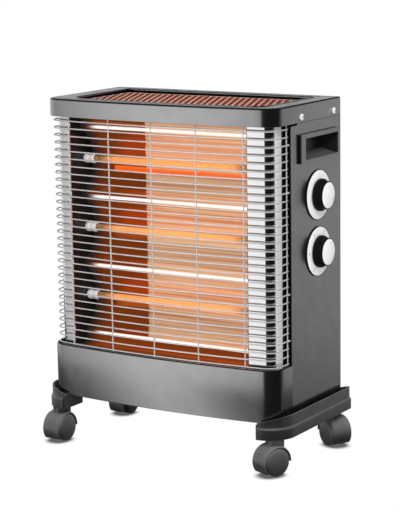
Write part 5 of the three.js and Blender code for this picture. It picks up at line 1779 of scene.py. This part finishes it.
class HEATER_OT_reflector(bpy.types.Operator):
    """Polished sheet behind the tubes"""

    bl_idname = "heater.reflector"
    bl_label = "Reflector"
    bl_options = {"REGISTER", "UNDO"}

    def execute(self, context):
        build_reflector()
        return {"FINISHED"}


class HEATER_OT_brackets(bpy.types.Operator):
    """Tube brackets"""

    bl_idname = "heater.brackets"
    bl_label = "Brackets"
    bl_options = {"REGISTER", "UNDO"}

    def execute(self, context):
        build_brackets()
        return {"FINISHED"}


class HEATER_OT_tubes(bpy.types.Operator):
    """Quartz tubes, coils and ceramic caps"""

    bl_idname = "heater.tubes"
    bl_label = "Tubes"
    bl_options = {"REGISTER", "UNDO"}

    def execute(self, context):
        build_tubes()
        return {"FINISHED"}


class HEATER_OT_handles(bpy.types.Operator):
    """Finger grips"""

    bl_idname = "heater.handles"
    bl_label = "Handles"
    bl_options = {"REGISTER", "UNDO"}

    def execute(self, context):
        build_handles()
        return {"FINISHED"}


class HEATER_OT_dials(bpy.types.Operator):
    """Dial plates and their marks"""

    bl_idname = "heater.dials"
    bl_label = "Dials"
    bl_options = {"REGISTER", "UNDO"}

    def execute(self, context):
        build_dials()
        return {"FINISHED"}


class HEATER_OT_knobs(bpy.types.Operator):
    """Control knobs"""

    bl_idname = "heater.knobs"
    bl_label = "Knobs"
    bl_options = {"REGISTER", "UNDO"}

    def execute(self, context):
        build_knobs()
        return {"FINISHED"}


class HEATER_OT_inner_parts(bpy.types.Operator):
    """Switches and terminal block"""

    bl_idname = "heater.inner_parts"
    bl_label = "Inner parts"
    bl_options = {"REGISTER", "UNDO"}

    def execute(self, context):
        build_inner_parts()
        return {"FINISHED"}


class HEATER_OT_foot_rails(bpy.types.Operator):
    """Moulded rails"""

    bl_idname = "heater.foot_rails"
    bl_label = "Foot rails"
    bl_options = {"REGISTER", "UNDO"}

    def execute(self, context):
        build_foot_rails()
        return {"FINISHED"}


class HEATER_OT_castors(bpy.types.Operator):
    """Hoods, stems and wheels"""

    bl_idname = "heater.castors"
    bl_label = "Castors"
    bl_options = {"REGISTER", "UNDO"}

    def execute(self, context):
        build_castors()
        return {"FINISHED"}


STEPS = (
    HEATER_OT_stage, HEATER_OT_top_cover, HEATER_OT_top_grille, HEATER_OT_front_guard,
    HEATER_OT_front_skirt, HEATER_OT_columns, HEATER_OT_panels, HEATER_OT_screws,
    HEATER_OT_reflector, HEATER_OT_brackets, HEATER_OT_tubes, HEATER_OT_handles, HEATER_OT_dials,
    HEATER_OT_knobs, HEATER_OT_inner_parts, HEATER_OT_foot_rails, HEATER_OT_castors,
)


class HEATER_PT_panel(bpy.types.Panel):
    """Sidebar panel with the heater's sizes, colours and building steps"""

    bl_idname = "HEATER_PT_panel"
    bl_label = "Heater"
    bl_space_type = "VIEW_3D"
    bl_region_type = "UI"
    bl_category = "Heater"

    def draw(self, context):
        for group in ("heater_sizes", "heater_colours", "heater_stage"):
            settings = getattr(context.scene, group)
            for name in settings.__annotations__:
                self.layout.prop(settings, name)
        for step in STEPS:
            self.layout.operator(step.bl_idname)


CLASSES = (HeaterSizes, HeaterColours, HeaterStage, *STEPS, HEATER_PT_panel)


def register():
    for item in CLASSES:
        bpy.utils.register_class(item)
    bpy.types.Scene.heater_sizes = PointerProperty(type=HeaterSizes)
    bpy.types.Scene.heater_colours = PointerProperty(type=HeaterColours)
    bpy.types.Scene.heater_stage = PointerProperty(type=HeaterStage)


def unregister():
    del bpy.types.Scene.heater_stage
    del bpy.types.Scene.heater_colours
    del bpy.types.Scene.heater_sizes
    for item in reversed(CLASSES):
        bpy.utils.unregister_class(item)


def main():
    """Builds every piece in order."""
    register()
    for step in STEPS:
        group, name = step.bl_idname.split(".")
        getattr(getattr(bpy.ops, group), name)()


if __name__ == "__main__":
    main()
